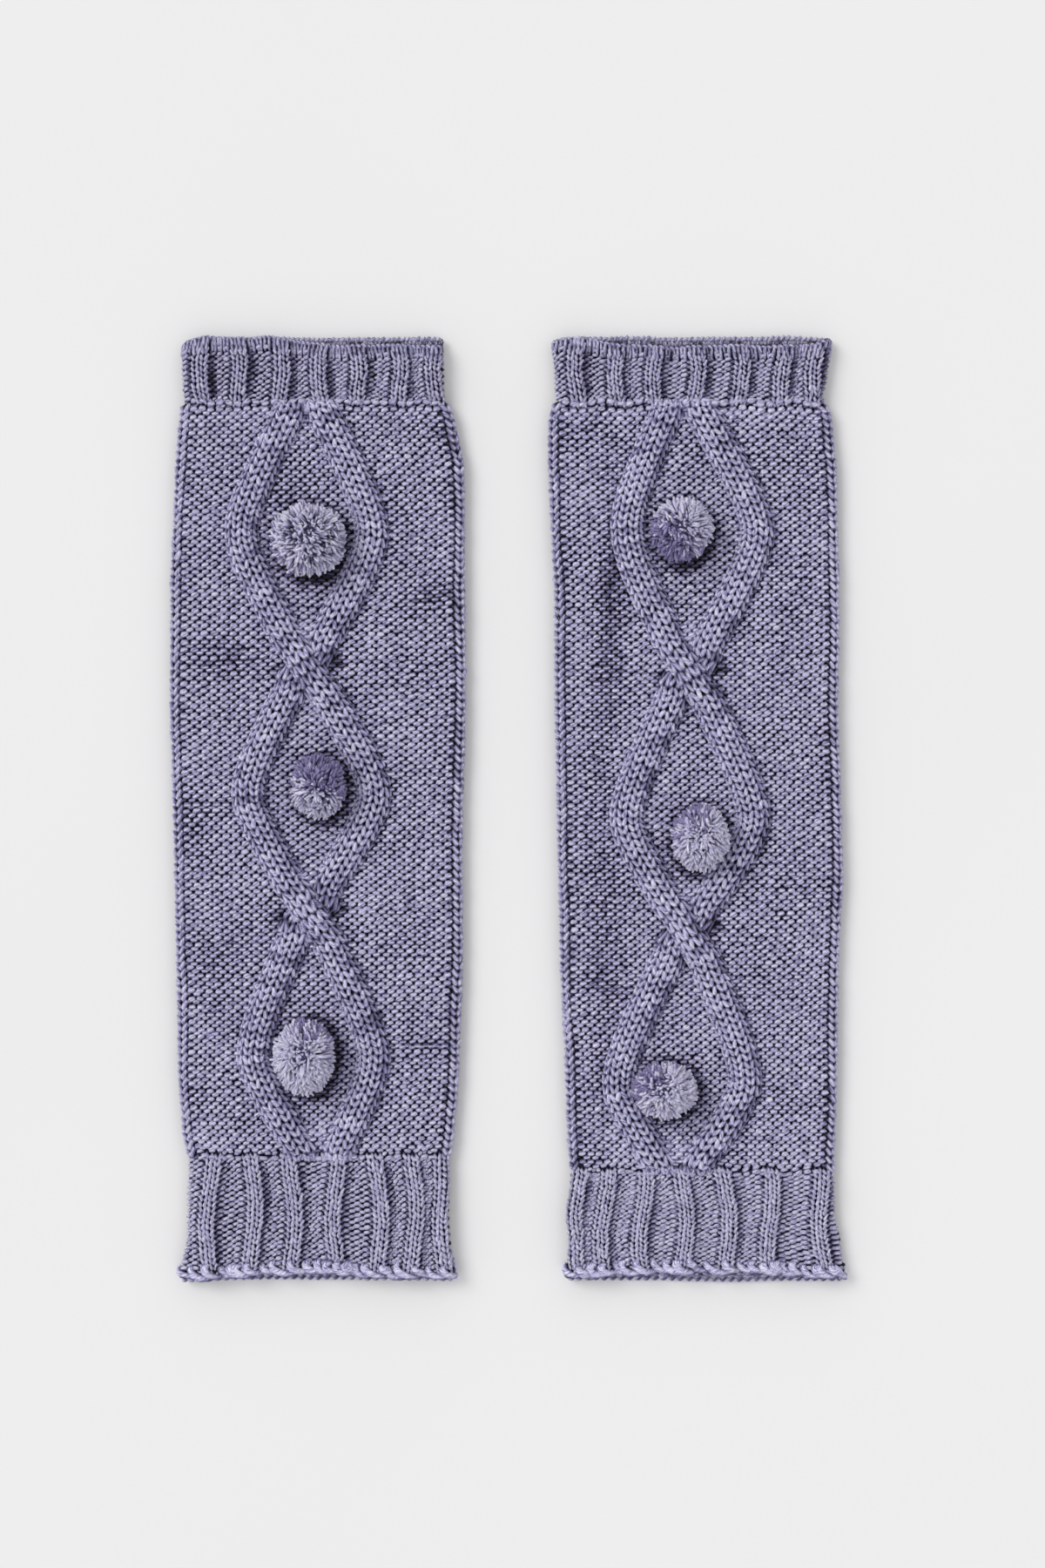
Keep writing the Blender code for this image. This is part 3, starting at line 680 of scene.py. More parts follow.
def leg_front(side, warmer):
    """The purl ground of one leg, with shade painted beside the cords, under and round the pompoms,
    along the fold lines and in creases.

    dim is that painted shade, as how much lower a strand counts than it lies, in mm:
    lee * exp(-(distance / width)^2) from each cord and pompom, whose lower right side is the
    darker one.
    """
    top, bottom = warmer["ends"]
    y, row = leg_rows(warmer)
    bounds = leg_bounds(warmer, y, LEG_WALES)
    faces = np.ones((len(y), LEG_WALES))
    faces[:, [0, -1]] = -1.0
    bounds[:, 1:-1] += 0.7 * waves(bounds[:, 1:-1], y[:, None], warmer["seed"] + 8, 48.0)

    def drift(a, along):
        """Lets the rows wander up and down, but not at the leg's ends."""
        near_end = limited(np.minimum(top - along, along - bottom) / 16.0)
        broad = 1.5 * waves(a, along, warmer["seed"] + 9, 70.0)
        small = 0.35 * waves(a, along, warmer["seed"] + 7, 18.0)
        return near_end * (broad + small) + seam_wave(warmer, a, along)

    big = 1.0 + 0.22 * limited(1.0 - (top - y) / 9.0)[:, None]
    place, facing, size, out, keep, run = knit(
        warmer, y, bounds, faces, row, 1.0, front_relief, warmer["seed"], radius=1.11 * big, shift=drift
    )
    at_x, at_y = place[..., 0], place[..., 1]
    cable = warmer["cable"]
    heights, tracks = cable_tracks(warmer)
    hidden = np.zeros(size.shape, bool)
    inside = (at_y < cable[0][0]) & (at_y > cable[-1][0])
    dim = np.zeros(size.shape)
    # Yarn under a cord is left out; beside it shade is painted, more on the cord's right side.
    for x, slope, _ in tracks:
        away = (at_x - np.interp(at_y, heights, x)) / np.hypot(1.0, np.interp(at_y, heights, slope))
        hidden |= (np.abs(away) < CORD_COVER) & inside
        lee = np.where(away > 0.0, 1.25, 0.65)
        past = np.maximum(np.abs(away) - CORD_FOOT, 0.0)
        dim = np.maximum(dim, lee * bell(past / 1.5) * inside)
    # At a lozenge's lower corner the stitches bunch up bigger and higher, with less painted shade.
    for at, above in BUNCHES:
        row_y, left, right = cable[at]
        apex_x, apex_y = 0.5 * (left + right) - PAIR_MIDDLE, row_y + above
        near = np.exp(-(((at_x - apex_x) / 5.0) ** 2) - ((at_y - apex_y) / 5.0) ** 2)
        size = size * (1.0 + 0.4 * near)
        place[..., 2] += 1.2 * near
        dim = dim * (1.0 - 0.7 * near)
    flat_left, width, _ = flat_span(warmer, at_y)
    # Painted shade along both fold lines, where the level part turns into the folds.
    for weight, line in zip(warmer["fold_line_shade"], (flat_left + 1.0, flat_left + width - 1.0)):
        dim = np.maximum(dim, weight * bell((at_x - line) / 0.9))
    # Painted shadow: a dark ring under and round each pompom, darker on its lower right.
    for x, y, across, along, _ in warmer["pompoms"]:
        dx, dy = (at_x - x + PAIR_MIDDLE) / across, (at_y - y) / along
        past = np.maximum(np.hypot(dx, dy) * 2.0 - 1.0, 0.0)
        lee = 0.5 + 0.35 * (dx - dy) / np.hypot(dx, dy)
        ring = (0.75 + 0.85 * lee) * bell(past / (0.12 + 0.14 * lee))
        dim = np.maximum(dim, ring)
    # Painted shade in the creases; out then sets each strand's painted shade, with a slow random swing
    # in tone.
    dim = dim + 0.55 * creased(warmer, at_x, at_y)
    out = 1.12 * out - 0.09 - dim + 0.3 * waves(at_x, at_y, warmer["seed"] + 12, 36.0)
    seen = strands(place, facing, size, out, keep & ~hidden, run)
    made = spin_yarn(f"{side}_leg_stitches", *seen, 4, marled)
    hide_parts(f"{side}_leg")
    return made


# Cords
# Four knit wales rolled over an arch, so that their Vs fan a little to each side. A course lies
# square to the cord, and the stitches at a crossing are drawn out long.

CORD_WALES = 4
CORD_HALF = 6.2
CORD_ARCH = 4.4
CORD_TURN = math.radians(164.0)


def leg_cords(side, warmer):
    """Both cords of one leg.

    A stitch at theta round the arch lies CORD_HALF * sin theta across the cord and
    CORD_ARCH * cos theta above the ground.
    """
    heights, tracks = cable_tracks(warmer)
    cable = warmer["cable"]
    y = [cable[-1][0] - 2.0]
    while y[-1] < cable[0][0] + 1.0:
        near = min(abs(y[-1] + 1.6 - cable[2][0]), abs(y[-1] + 1.6 - cable[4][0]))
        y.append(y[-1] + ROW * (0.98 + 0.4 * math.exp(-((near / 6.5) ** 2))))
    y = np.array(y)
    row = np.gradient(y)
    quarter = np.arange(-1, 4 * CORD_WALES - 2, 2)
    t = np.radians(90.0 * quarter[:, None] + LEG_SPAN).ravel()
    run = np.repeat(np.arange(len(quarter)), len(LEG_SPAN))
    q0 = t / (2.0 * math.pi) + 0.5
    q = q0 + 0.25 * np.sin(2.0 * t)
    groups = []
    for index, (x, slope, lift) in enumerate(tracks):
        rng = np.random.default_rng(warmer["seed"] + 100 + index)

        def noise(size):
            """Unevenness that changes slowly from wale to wale."""
            return per_wale(rng.normal(0.0, size, (len(y), CORD_WALES + 1)), q0)

        along = y[:, None] + 0.88 * row[:, None] * np.cos(t) + noise(0.16)
        part = np.clip(q, -0.2, CORD_WALES + 0.2) / CORD_WALES - 0.5
        theta = part * CORD_TURN + noise(0.02)
        out = -0.9 * np.cos(2.0 * t) - 0.4 * np.cos(t) + noise(0.14)
        at = np.interp(along, heights, x)
        lean = np.interp(along, heights, slope)
        up = np.interp(along, heights, lift)
        squeeze = 1.0 - 0.06 * np.maximum(-up, 0.0) - 0.05 * np.maximum(up, 0.0)
        length = np.hypot(1.0, lean)
        across = np.stack([1.0 / length, -lean / length, 0.0 * length], axis=-1)
        from_end = np.minimum(cable[0][0] - along, along - cable[-1][0])
        ease = np.clip(0.5 + from_end / 9.0, 0.2, 1.0)
        ground = 0.5 * LAID_HEIGHT + MID_RADIUS + front_relief(warmer, at, along) - 0.6
        bulge = CORD_ARCH * ease * squeeze
        centre = np.stack([at, along, ground + up], axis=-1)
        place = centre + across * (CORD_HALF * squeeze * np.sin(theta))[..., None]
        place[..., 2] += bulge * np.cos(theta)
        facing = across * (bulge * np.sin(theta))[..., None]
        facing[..., 2] += CORD_HALF * np.cos(theta)
        facing /= np.linalg.norm(facing, axis=-1, keepdims=True)
        size = 1.08 * (1.0 + noise(0.07))
        # Painted shade: darker down the cord's right flank, as light from the upper left leaves it, a
        # little down its left flank, and on the under cord where it dives at a crossing.
        flank = 1.0 - np.cos(theta)
        dim = flank * np.where(theta > 0.0, 0.95, 0.15) + 0.35 * np.maximum(-up, 0.0)
        shade = 1.5 * out - 0.45 - dim
        groups.append(strands(place + facing * out[..., None], facing, size, shade, None, run))
    return spin_yarn(f"{side}_cable_cords", *together(*groups), 5, marled)


# Cuffs
# Ribbing of two knit and three purl wales, seven ribs across. The ribs stand up and shade their
# right-hand sides, and shade is painted into the narrow hollow there. The free edges follow the
# rim and hem lines of each warmer.

RIB_RISE = 2.9
KNIT_WALE = 3.44
PURL_WALE = 3.4


def cuff_ends(warmer, is_top):
    """Where a cuff meets the leg, and its free edge."""
    return (warmer["ends"][0], TOP_RIM) if is_top else (warmer["ends"][1], BOTTOM_RIM)


def cuff_rows(warmer, is_top, edge, rows, overlap=0.0):
    """Heights of rows from overlap mm inside the leg to edge mm from the rim, and a row's height."""
    end, rim = cuff_ends(warmer, is_top)
    step = (abs(rim - end) - edge + overlap) / rows
    from_end = (np.arange(rows) + 0.5) * step - overlap
    return np.sort(end + math.copysign(1.0, rim - end) * from_end), step


def rib_middles(warmer, which, y):
    """Rib middles (rows, 7) at heights y: straight but for a slow sway, and clear of the folds."""
    table = np.array(warmer[which])
    top, bottom = sorted(cuff_ends(warmer, which == "top_ribs"), reverse=True)
    share = limited((top - y) / (top - bottom))[:, None]
    upper, lower = table[None, :, 0], table[None, :, 1]
    middles = upper + (lower - upper) * share - PAIR_MIDDLE
    rng = np.random.default_rng(warmer["seed"] + 80)
    sway = rng.uniform(0.0, 2.0 * math.pi, (1, middles.shape[1]))
    middles = middles + (0.8 if which == "top_ribs" else 1.5) * np.sin(math.pi * share * 1.7 + sway)
    flat_left, width, _ = flat_span(warmer, y)
    return np.clip(middles, (flat_left + 0.4)[:, None], (flat_left + width - 0.4)[:, None])


def cuff_bounds(warmer, which, y):
    """Wale boundaries across the front, and the wales' faces: each rib has two knit wales.

    Three purl wales lie between two ribs, and as many as fit lie from the outer ribs round the
    folds.
    """
    flat_left, width, half = flat_span(warmer, y)
    middles = rib_middles(warmer, which, y) - flat_left[:, None]
    arc = fold_arc(half)[:, None]
    first, last, end = middles[:, :1] - KNIT_WALE, middles[:, -1:] + KNIT_WALE, width[:, None] + arc
    before = int(round(float(np.mean(first + arc)) / PURL_WALE))
    after = int(round(float(np.mean(end - last)) / PURL_WALE))
    knots = [-arc + (first + arc) * i / before for i in range(before)]
    faces = [1.0] * before
    ribs = middles.shape[1]
    for k in range(ribs):
        at = middles[:, k : k + 1]
        knots += [at - KNIT_WALE, at, at + KNIT_WALE]
        faces += [-1.0, -1.0]
        if k < ribs - 1:
            gap = middles[:, k + 1 : k + 2] - KNIT_WALE - knots[-1]
            knots += [knots[-1] + gap / 3.0, knots[-1] + gap * 2.0 / 3.0]
            faces += [1.0, 1.0, 1.0]
    knots += [last + (end - last) * i / after for i in range(1, after + 1)]
    faces += [1.0] * after
    return np.concatenate(knots, axis=1), np.tile(faces, (len(y), 1))


def from_ribs(warmer, which, x, y):
    """How far each place lies to the right of every rib's middle, and the fade-in at the leg."""
    flat_x, flat_y = (each.ravel() for each in np.broadcast_arrays(x, y))
    away = flat_x[:, None] - rib_middles(warmer, which, flat_y)
    end, _ = cuff_ends(warmer, which == "top_ribs")
    return away, limited((np.abs(y - end) - 0.6) / 3.6)


def rib_shape(warmer, which, x, y):
    """From -1 in the hollows to RIB_RISE - 1 on the ribs: a broad left flank, a steep right one."""
    away, ease = from_ribs(warmer, which, x, y)
    left_flank = limited((-1.8 - away) / 6.4)
    right_flank = limited((away - 2.9) / 2.1)
    rib = (0.5 + 0.5 * np.cos(math.pi * np.maximum(left_flank, right_flank))).max(axis=1)
    return ease * (RIB_RISE * rib.reshape(np.broadcast(x, y).shape) - 1.0)


def rib_shadow(warmer, which, x, y):
    """How much darker the yarn lies in the narrow hollow to the right of each rib."""
    away, ease = from_ribs(warmer, which, x, y)
    band = bell((away - 5.3) / 1.4).max(axis=1)
    depth = (0.8 if which == "top_ribs" else 0.7) * (1.0 + 0.9 * waves(x, y, warmer["seed"] + 31, 38.0))
    return depth * ease * band.reshape(np.broadcast(x, y).shape)


def rib_relief(which):
    """Relief of a cuff's front: ribs that stand up between hollow purl wales."""

    def relief(warmer, x, y):
        """Relief of the front plus the ribs."""
        return front_relief(warmer, x, y) + rib_shape(warmer, which, x, y)

    return relief


def edge_shift(warmer, is_top, table=None):
    """Moves the rows of a cuff so that its free edge follows the rim or hem line."""
    xs, drops = np.array(warmer[table or ("rim" if is_top else "hem")]).T
    end, rim = cuff_ends(warmer, is_top)

    def shift(a, along):
        """The drop at that place, in full at the rim and none where the cuff meets the leg."""
        flat_left, _, _ = flat_span(warmer, along)
        x = flat_left + a
        share = np.clip((along - end) / (rim - end), 0.0, 1.2)
        drop = np.interp(x, xs, drops) + 0.5 * waves(x, 0.0 * x, warmer["seed"] + 5, 34.0)
        return (-1.0 if is_top else 1.0) * drop * share + seam_wave(warmer, a, along)

    return shift


def cuff_front(side, warmer, is_top):
    """Ribbed rows of one front cuff; the top one ends in two knit rows and a fine rim strand."""
    name = f"{side}_top_cuff" if is_top else f"{side}_bottom_cuff"
    which, edge, rows, lighter = ("top_ribs", 5.2, 10, 0.2) if is_top else ("bottom_ribs", 2.2, 21, 0.5)
    y, step = cuff_rows(warmer, is_top, edge, rows, 0.5)
    bounds, faces = cuff_bounds(warmer, which, y)
    shift = edge_shift(warmer, is_top)
    place, facing, size, out, keep, run = knit(
        warmer, y, bounds, faces, step, 1.0, rib_relief(which), warmer["seed"] + (1 if is_top else 2),
        radius=0.83, shift=shift, tilt=0.22, depth=0.9, knit_lean=0.2, purl_lean=0.2, leg_size=0.95,
    )
    # Painted shade in the hollow to the right of each rib; lighter lifts the painted shade of the whole
    # cuff.
    dim = rib_shadow(warmer, which, place[..., 0], place[..., 1])
    groups = [strands(place, facing, size, out - dim + lighter, keep, run)]
    if is_top:
        y = np.array([TOP_RIM - edge + 0.8, TOP_RIM - 2.1])
        bounds, faces = cuff_bounds(warmer, which, y)
        rolled = rim_roll(which, TOP_RIM)
        last_rows = knit(
            warmer, y, bounds, -np.ones_like(faces), np.array([3.4, 3.0]), 1.0, rolled,
            warmer["seed"] + 3, radius=0.82, shift=shift, knit_lean=0.14, tilt=0.1, depth=0.7, loop=0.9,
            wobble=1.3,
        )
        groups.append(strands(*last_rows))
        groups.append(rim_strand(warmer, 1.0, TOP_RIM - 0.5, rolled, shift))
    made = spin_yarn(f"{name}_stitches", *together(*groups), 4, marled)
    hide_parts(name)
    return made


def rim_strand(warmer, face, y, relief, shift):
    """Fine cast-on strand along a rim, in small uneven waves."""
    rng = np.random.default_rng(warmer["seed"] + 90 + int(face))
    _, width, _ = flat_span(warmer, np.array([y]))
    arc = 0.5 * math.pi * MID_RADIUS
    waves_across = 52
    k = np.linspace(0.0, waves_across, waves_across * 6 + 1)
    grow = np.interp(k, np.arange(waves_across + 1), rng.uniform(0.5, 1.4, waves_across + 1))
    a = np.linspace(-arc, float(width[0]) + arc, len(k))
    along = y + 0.45 * grow * np.cos(2.0 * math.pi * k)
    along = along + shift(a, along)
    out = 0.4 * grow * np.sin(2.0 * math.pi * k)
    place, facing = lay(warmer, a[None], along[None], face, out[None], relief)
    # The strand's painted shade, lifted by 0.4 mm.
    return strands(place, facing, np.full((1, len(k)), 0.78), out[None] + 0.4)


def rim_roll(which, rim):
    """Relief of a cuff whose last few mm roll down over the edge."""
    ribbed = rib_relief(which)

    def relief(warmer, x, y):
        """The ribbed relief, less 2.2 times the share of the last 6 mm to the power 2.6."""
        beyond = np.clip((np.abs(y) - (abs(rim) - 6.0)) / 6.0, 0.0, 1.3)
        return ribbed(warmer, x, y) * (1.0 - 0.25 * beyond) - 2.2 * beyond**2.6

    return relief


# Hems
# The cast-off edge curls: two doubled strands coil in loops along the hem, half a turn apart,
# with a finer chain below them. Front and back have the same edge.

COIL_EVERY = 11.0


def hem(warmer, face):
    """Curly cast-off edge along the bottom of the front or back.

    Through its phase a strand goes 2.5 sin back and forth, 2 cos up and down and 1.1 sin out,
    so that it closes one loop in each turn of about COIL_EVERY mm. Turns differ in length and size.
    """
    rng = np.random.default_rng(warmer["seed"] + 40 + int(face))
    end = BOTTOM_RIM
    _, width, _ = flat_span(warmer, np.array([end + 2.6]))
    arc = 0.5 * math.pi * MID_RADIUS
    length = float(width[0]) + 2.0 * arc
    turns = int(round(length / COIL_EVERY))
    # Lifts of the painted shade: the back's strands face down, so the side that shows would be painted
    # near black without them.
    lighter, chain_lighter = (0.0, 0.9) if face > 0 else (2.6, 2.1)
    stretch = np.cumsum(rng.uniform(0.65, 1.4, turns + 1))
    stretch = (stretch - stretch[0]) / (stretch[-1] - stretch[0])
    grow_at = rng.uniform(0.78, 1.25, turns * 2 + 1)
    shift = edge_shift(warmer, False) if face > 0 else (lambda a, along: 0.0 * a)
    relief = rib_relief("bottom_ribs") if face > 0 else None
    groups = []
    for ply, pair in ((0.0, -1.0), (0.0, 1.0), (0.5, -1.0), (0.5, 1.0)):
        k = np.linspace(0.0, turns, turns * 14 + 1)
        phase = 2.0 * math.pi * (k + ply) + 0.25 * pair
        a = -arc + length * np.interp(k, np.arange(turns + 1), stretch)
        a = a - 2.5 * np.sin(phase) + 0.75 * pair
        a = a + np.interp(3.0 * k, np.arange(turns * 3 + 1), rng.normal(0.0, 0.25, turns * 3 + 1))
        grow = np.interp(2.0 * k, np.arange(turns * 2 + 1), grow_at)
        along = end + 3.6 + 2.0 * grow * np.cos(phase)
        out = 0.7 + 1.1 * grow * np.sin(phase)
        along = along + shift(a, along)
        place, facing = lay(warmer, a[None], along[None], face, out[None], relief)
        size = (1.4 * grow * (0.94 + 0.12 * np.sin(phase)))[None]
        # Painted shade of the loops: darker where a strand dips in the coil, and on the bigger turns.
        shade = 0.6 * out - 0.65 * grow + lighter
        groups.append(strands(place, facing, size, shade[None]))
    k = np.linspace(0.0, turns * 3, turns * 27 + 1)
    a = np.linspace(-arc, length - arc, len(k))
    wander = 0.2 * rng.normal(size=len(k)).cumsum() / 8.0
    along = end + 0.55 + 0.55 * np.cos(2.0 * math.pi * k) + wander
    along = along + shift(a, along)
    out = -0.5 + 0.4 * np.sin(2.0 * math.pi * k)
    place, facing = lay(warmer, a[None], along[None], face, out[None], None)
    # The chain's painted shade, lifted by chain_lighter.
    groups.append(strands(place, facing, np.full((1, len(k)), 0.72), out[None] + chain_lighter))
    return groups


def hem_piece(side, warmer):
    """Front and back hems as one piece."""
    both = together(*hem(warmer, 1.0), *hem(warmer, -1.0))
    return spin_yarn(f"{side}_curled_hem", *both, 6, marled)


# Backs
# The backs lie underneath and are plain: stockinette on the leg and ribbing on the cuffs, with
# the knit side outward. The back of the mouth shows past the front at the top.


def back_creases(warmer, x, y):
    """Like the front's creases, on the other side and a little shallower."""
    left, right = edges(warmer, y)
    return 0.7 * creased(warmer, left + right - x, y)


def back_relief(warmer, x, y):
    """The back's rim curls up a little towards the front's; the rest lies level but for creases."""
    curl = 2.4 * np.clip((y - (TOP_RIM - 13.0)) / 12.0, 0.0, 1.1) ** 2
    return -curl - back_creases(warmer, x, y)


def front_rim(warmer, x):
    """Height of the front's rim at places x."""
    xs, drops = np.array(warmer["rim"]).T
    return TOP_RIM + (-np.interp(x, xs, drops) - 0.5 * waves(x, 0.0 * x, warmer["seed"] + 5, 34.0))


BACK_SPAN = np.array([-58.0, 0.0, 58.0])
BACK_WALES = 29
BACK_RIB = [1.0, 1.0, -1.0, -1.0, 1.0]
BACK_RIBS = 7
BARE_EDGE = 12.0
MOUTH_WALES = 34
MOUTH_ROW = 2.6


def back_layer(side, warmer):
    """Rows of the whole back, from hem to rim, and the three rows seen inside the mouth."""
    spans = BACK_SPAN, BACK_SPAN
    y, row = leg_rows(warmer)
    faces = -np.ones((len(y), BACK_WALES))
    place, facing, size, out, keep, run = knit(
        warmer, y, leg_bounds(warmer, y, BACK_WALES), faces, row, -1.0, back_relief,
        warmer["seed"] + 60, depth=0.65, radius=1.0, tilt=0.1, spans=spans,
    )
    # Painted shade in the back's creases.
    out = out - 0.6 * back_creases(warmer, place[..., 0], place[..., 1])
    groups = [strands(place, facing, size, out, keep, run)]
    shift_rim = edge_shift(warmer, True, "back_rim")
    for is_top, edge, rows, shift in ((True, 1.6, 9, shift_rim), (False, 4.4, 14, None)):
        y, row = cuff_rows(warmer, is_top, edge, rows)
        faces = np.tile(BACK_RIB, (rows, BACK_RIBS))
        place, facing, size, out, keep, run = knit(
            warmer, y, leg_bounds(warmer, y, faces.shape[1]), faces, row, -1.0, back_relief,
            warmer["seed"] + 61, depth=0.65, radius=0.95, tilt=0.1, shift=shift, spans=spans,
        )
        bare = (np.abs(y) > TOP_RIM - BARE_EDGE)[:, None]
        # Within BARE_EDGE of either end the back shows: all its yarn is spun, and its painted shade
        # lifted so it reads lit.
        out = np.where(bare, 2.0 - 0.9 * np.abs(out), out)
        groups.append(strands(place, facing, size, out, keep | bare, run))
    y = TOP_RIM - np.array([8.4, 5.8, 3.4])
    faces = -np.ones((len(y), MOUTH_WALES))
    place, facing, size, out, keep, run = knit(
        warmer, y, leg_bounds(warmer, y, MOUTH_WALES), faces, MOUTH_ROW, -1.0, back_relief,
        warmer["seed"] + 62, depth=-0.6, radius=1.0, tilt=0.2, loop=0.85, knit_lean=0.3, wobble=1.5,
        shift=shift_rim,
    )
    x, y = place[..., 0], place[..., 1]
    # Painted shade on the rows seen inside the mouth: dark marks in the rib hollows, and a painted
    # shadow just inside the front's rim.
    hollow = 0.8 * bell(np.sin(math.pi * x / 8.4 + warmer["seed"]) / 0.3)
    hollow = hollow + 1.6 * bell((y - front_rim(warmer, x)) / 1.3)
    groups.append(strands(place, -facing, size, -out + 0.5 - hollow, keep, run))
    rim = rim_strand(warmer, -1.0, TOP_RIM - 0.7, back_relief, shift_rim)
    place, facing, number, size, out = rim
    # The back's rim strand, thicker, with its painted shade lifted.
    groups.append((place, facing, number, size * 1.3, out + 1.8))
    return spin_yarn(f"{side}_back_stitches", *together(*groups), 3, marled)


# Cloth behind the stitches
# A thin closed skin follows the middle of the cloth all round, so that no light comes through
# between stitches.

CLOTH_FACES = (-0.75, -1.05)
CLOTH_ROWS = 64
CLOTH_COLUMNS = 36


def tube_quads(rows, around):
    """Corners of the faces between rings of points: facing out, and the same facing in."""
    j, i = np.meshgrid(np.arange(rows - 1), np.arange(around), indexing="ij")
    i1 = (i + 1) % around
    a0, a1, b1, b0 = j * around + i, j * around + i1, (j + 1) * around + i1, (j + 1) * around + i
    outward = np.stack([a0, a1, b1, b0], axis=-1).reshape(-1, 4)
    return outward, np.stack([a0, b0, b1, a1], axis=-1).reshape(-1, 4)


def cloth_skin(side, warmer):
    """Open tube of cloth, 0.3 mm thick, on the tube's middle surface; its dark wool is painted shade."""
    end_top, end_bottom = warmer["ends"]
    y = np.linspace(BOTTOM_RIM + 2.0, TOP_RIM - 2.2, CLOTH_ROWS)
    _, width, half = flat_span(warmer, y)
    arc = fold_arc(half)[:, None]
    share = np.linspace(0.0, 1.0, CLOTH_COLUMNS + 1)[None, :]
    a = -arc + share * (width[:, None] + 2.0 * arc)
    y = np.broadcast_to(y[:, None], a.shape)
    to_rim = edge_shift(warmer, True)(a, y) * (y > end_top)
    to_hem = edge_shift(warmer, False)(a, y) * (y < end_bottom)
    front_y = y + np.where(y > 0, to_rim, to_hem)
    back_y = np.where(y > end_top, y - 10.0 * ((y - end_top) / 28.0) ** 2, y)
    rings = []
    for depth in CLOTH_FACES:
        out = np.full(a.shape, depth)
        front, _ = lay(warmer, a, front_y, 1.0, out, cuff_or_leg)
        back, _ = lay(warmer, a, back_y, -1.0, out, None)
        rings.append(np.concatenate([front, back[:, -2:0:-1]], axis=1))
    rows, around = rings[0].shape[:2]
    points = np.concatenate([ring.reshape(-1, 3) for ring in rings])
    shift = rows * around
    outward, inward = tube_quads(rows, around)
    k = np.arange(around)
    k1 = (k + 1) % around
    low = np.stack([k, k + shift, k1 + shift, k1], axis=-1)
    high = np.stack([k, k1, k1 + shift, k + shift], axis=-1) + (rows - 1) * around
    quads = np.concatenate([outward, inward + shift, low, high])
    corners = quads.ravel()
    across, along = (corners % shift) % around / around, (corners % shift) // around / rows
    spread = np.stack([0.49 * across + 0.5 * (corners >= shift), along], axis=-1)
    faces_of = corners, 4 * np.arange(len(quads))
    made = mesh_object(f"{side}_cloth", points, faces_of, gap_shade_wool, {"fabric": spread})
    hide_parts(f"{side}_leg", f"{side}_top_cuff", f"{side}_bottom_cuff")
    return made


def cuff_or_leg(warmer, x, y):
    """Relief of the whole front."""
    top, bottom = warmer["ends"]
    rise = front_relief(warmer, x, y)
    upper, lower = (rib_relief(which)(warmer, x, y) for which in ("top_ribs", "bottom_ribs"))
    ribbed = np.where(y > 0.0, upper, lower)
    share = limited((y - top) / 3.0) + limited((bottom - y) / 3.0)
    return rise * (1.0 - share) + ribbed * share


def skin_material(name, dark, light):
    """Dark wool seen between the stitches or tufts, painted as the shade there, with a fibre bump."""
    made, tree = new_material(name)
    where = {"Vector": add(tree, "ShaderNodeTexCoord").outputs["Object"]}
    noise = add(tree, "ShaderNodeTexNoise", {"Scale": 900.0, "Detail": 3.0}, where).outputs[0]
    bump = add(tree, "ShaderNodeBump", {"Strength": 0.6, "Distance": 0.3 * MM}, {"Height": noise})
    colour = ramp(tree, noise, [(0.35, dark), (0.7, light)])
    close_material(
        tree,
        {"Roughness": 0.95, "Sheen Weight": 0.1, "Specular IOR Level": 0.1},
        {"Base Color": colour, "Normal": bump.outputs[0]},
    )
    return made


# Painted shade: a dark wool sheet that shows in the gaps of the knitting, where shade falls
gap_shade_wool = skin_material("shaded_wool", "#1a172b", "#3a3554")
# Painted shade for a pompom's core: the pile darkened, as it lies in shade between the tufts
pile_heart = skin_material("shaded_pile", "#3c3858", "#6f6b94")

# Pompoms
# A ball of cut yarn tied through the middle: tufts of light and dark yarn spread from the tie,
# bend outward and end in open fibres. One side is darker where more dark yarn was wound.

PILE = {"turn_mm": 22.0, "bump_mm": 0.25}
# Light pile: cut ends that open into pale lavender fibres
light_pile = yarn_material("light_pile_yarn", "#fbf9ff", "#dedbff", "#9e9ad9", **PILE)
# Dark pile: the purple ply of the same yarn, wound on one side
dark_pile = yarn_material("dark_pile_yarn", "#b6addb", "#877eb2", "#524a78", **PILE)
POMPOM_SEAT = LAID_HEIGHT + CROWN + 0.3
TUFTS = 900
TUFT_RINGS = 4
CORE_SHARE = 0.68
# Columns: share of dark yarn, where it lies in degrees, tie x, tie y, tie turn in degrees, fullness,
# which also lightens the painted shade
POMPOM_WINDING = {
    "left": (
        (0.05, 210.0, 0.14, 0.16, 40.0, 0.45),
        (0.5, 70.0, 0.0, -0.15, 140.0, 0.35),
        (0.1, 60.0, -0.1, 0.3, 5.0, 2.4),
    ),
    "right": (
        (0.4, 235.0, -0.1, 0.1, 50.0, 0.6),
        (0.18, 125.0, 0.15, 0.25, 20.0, 1.0),
        (0.2, 150.0, -0.05, 0.1, 30.0, 1.2),
    ),
}


def unit(vectors):
    """The same directions with length 1."""
    return vectors / np.maximum(np.linalg.norm(vectors, axis=-1, keepdims=True), 1e-9)


def compass(degrees, up):
    """Level direction at so many degrees from +X, with up as its third part."""
    return np.array([math.cos(math.radians(degrees)), math.sin(math.radians(degrees)), up])


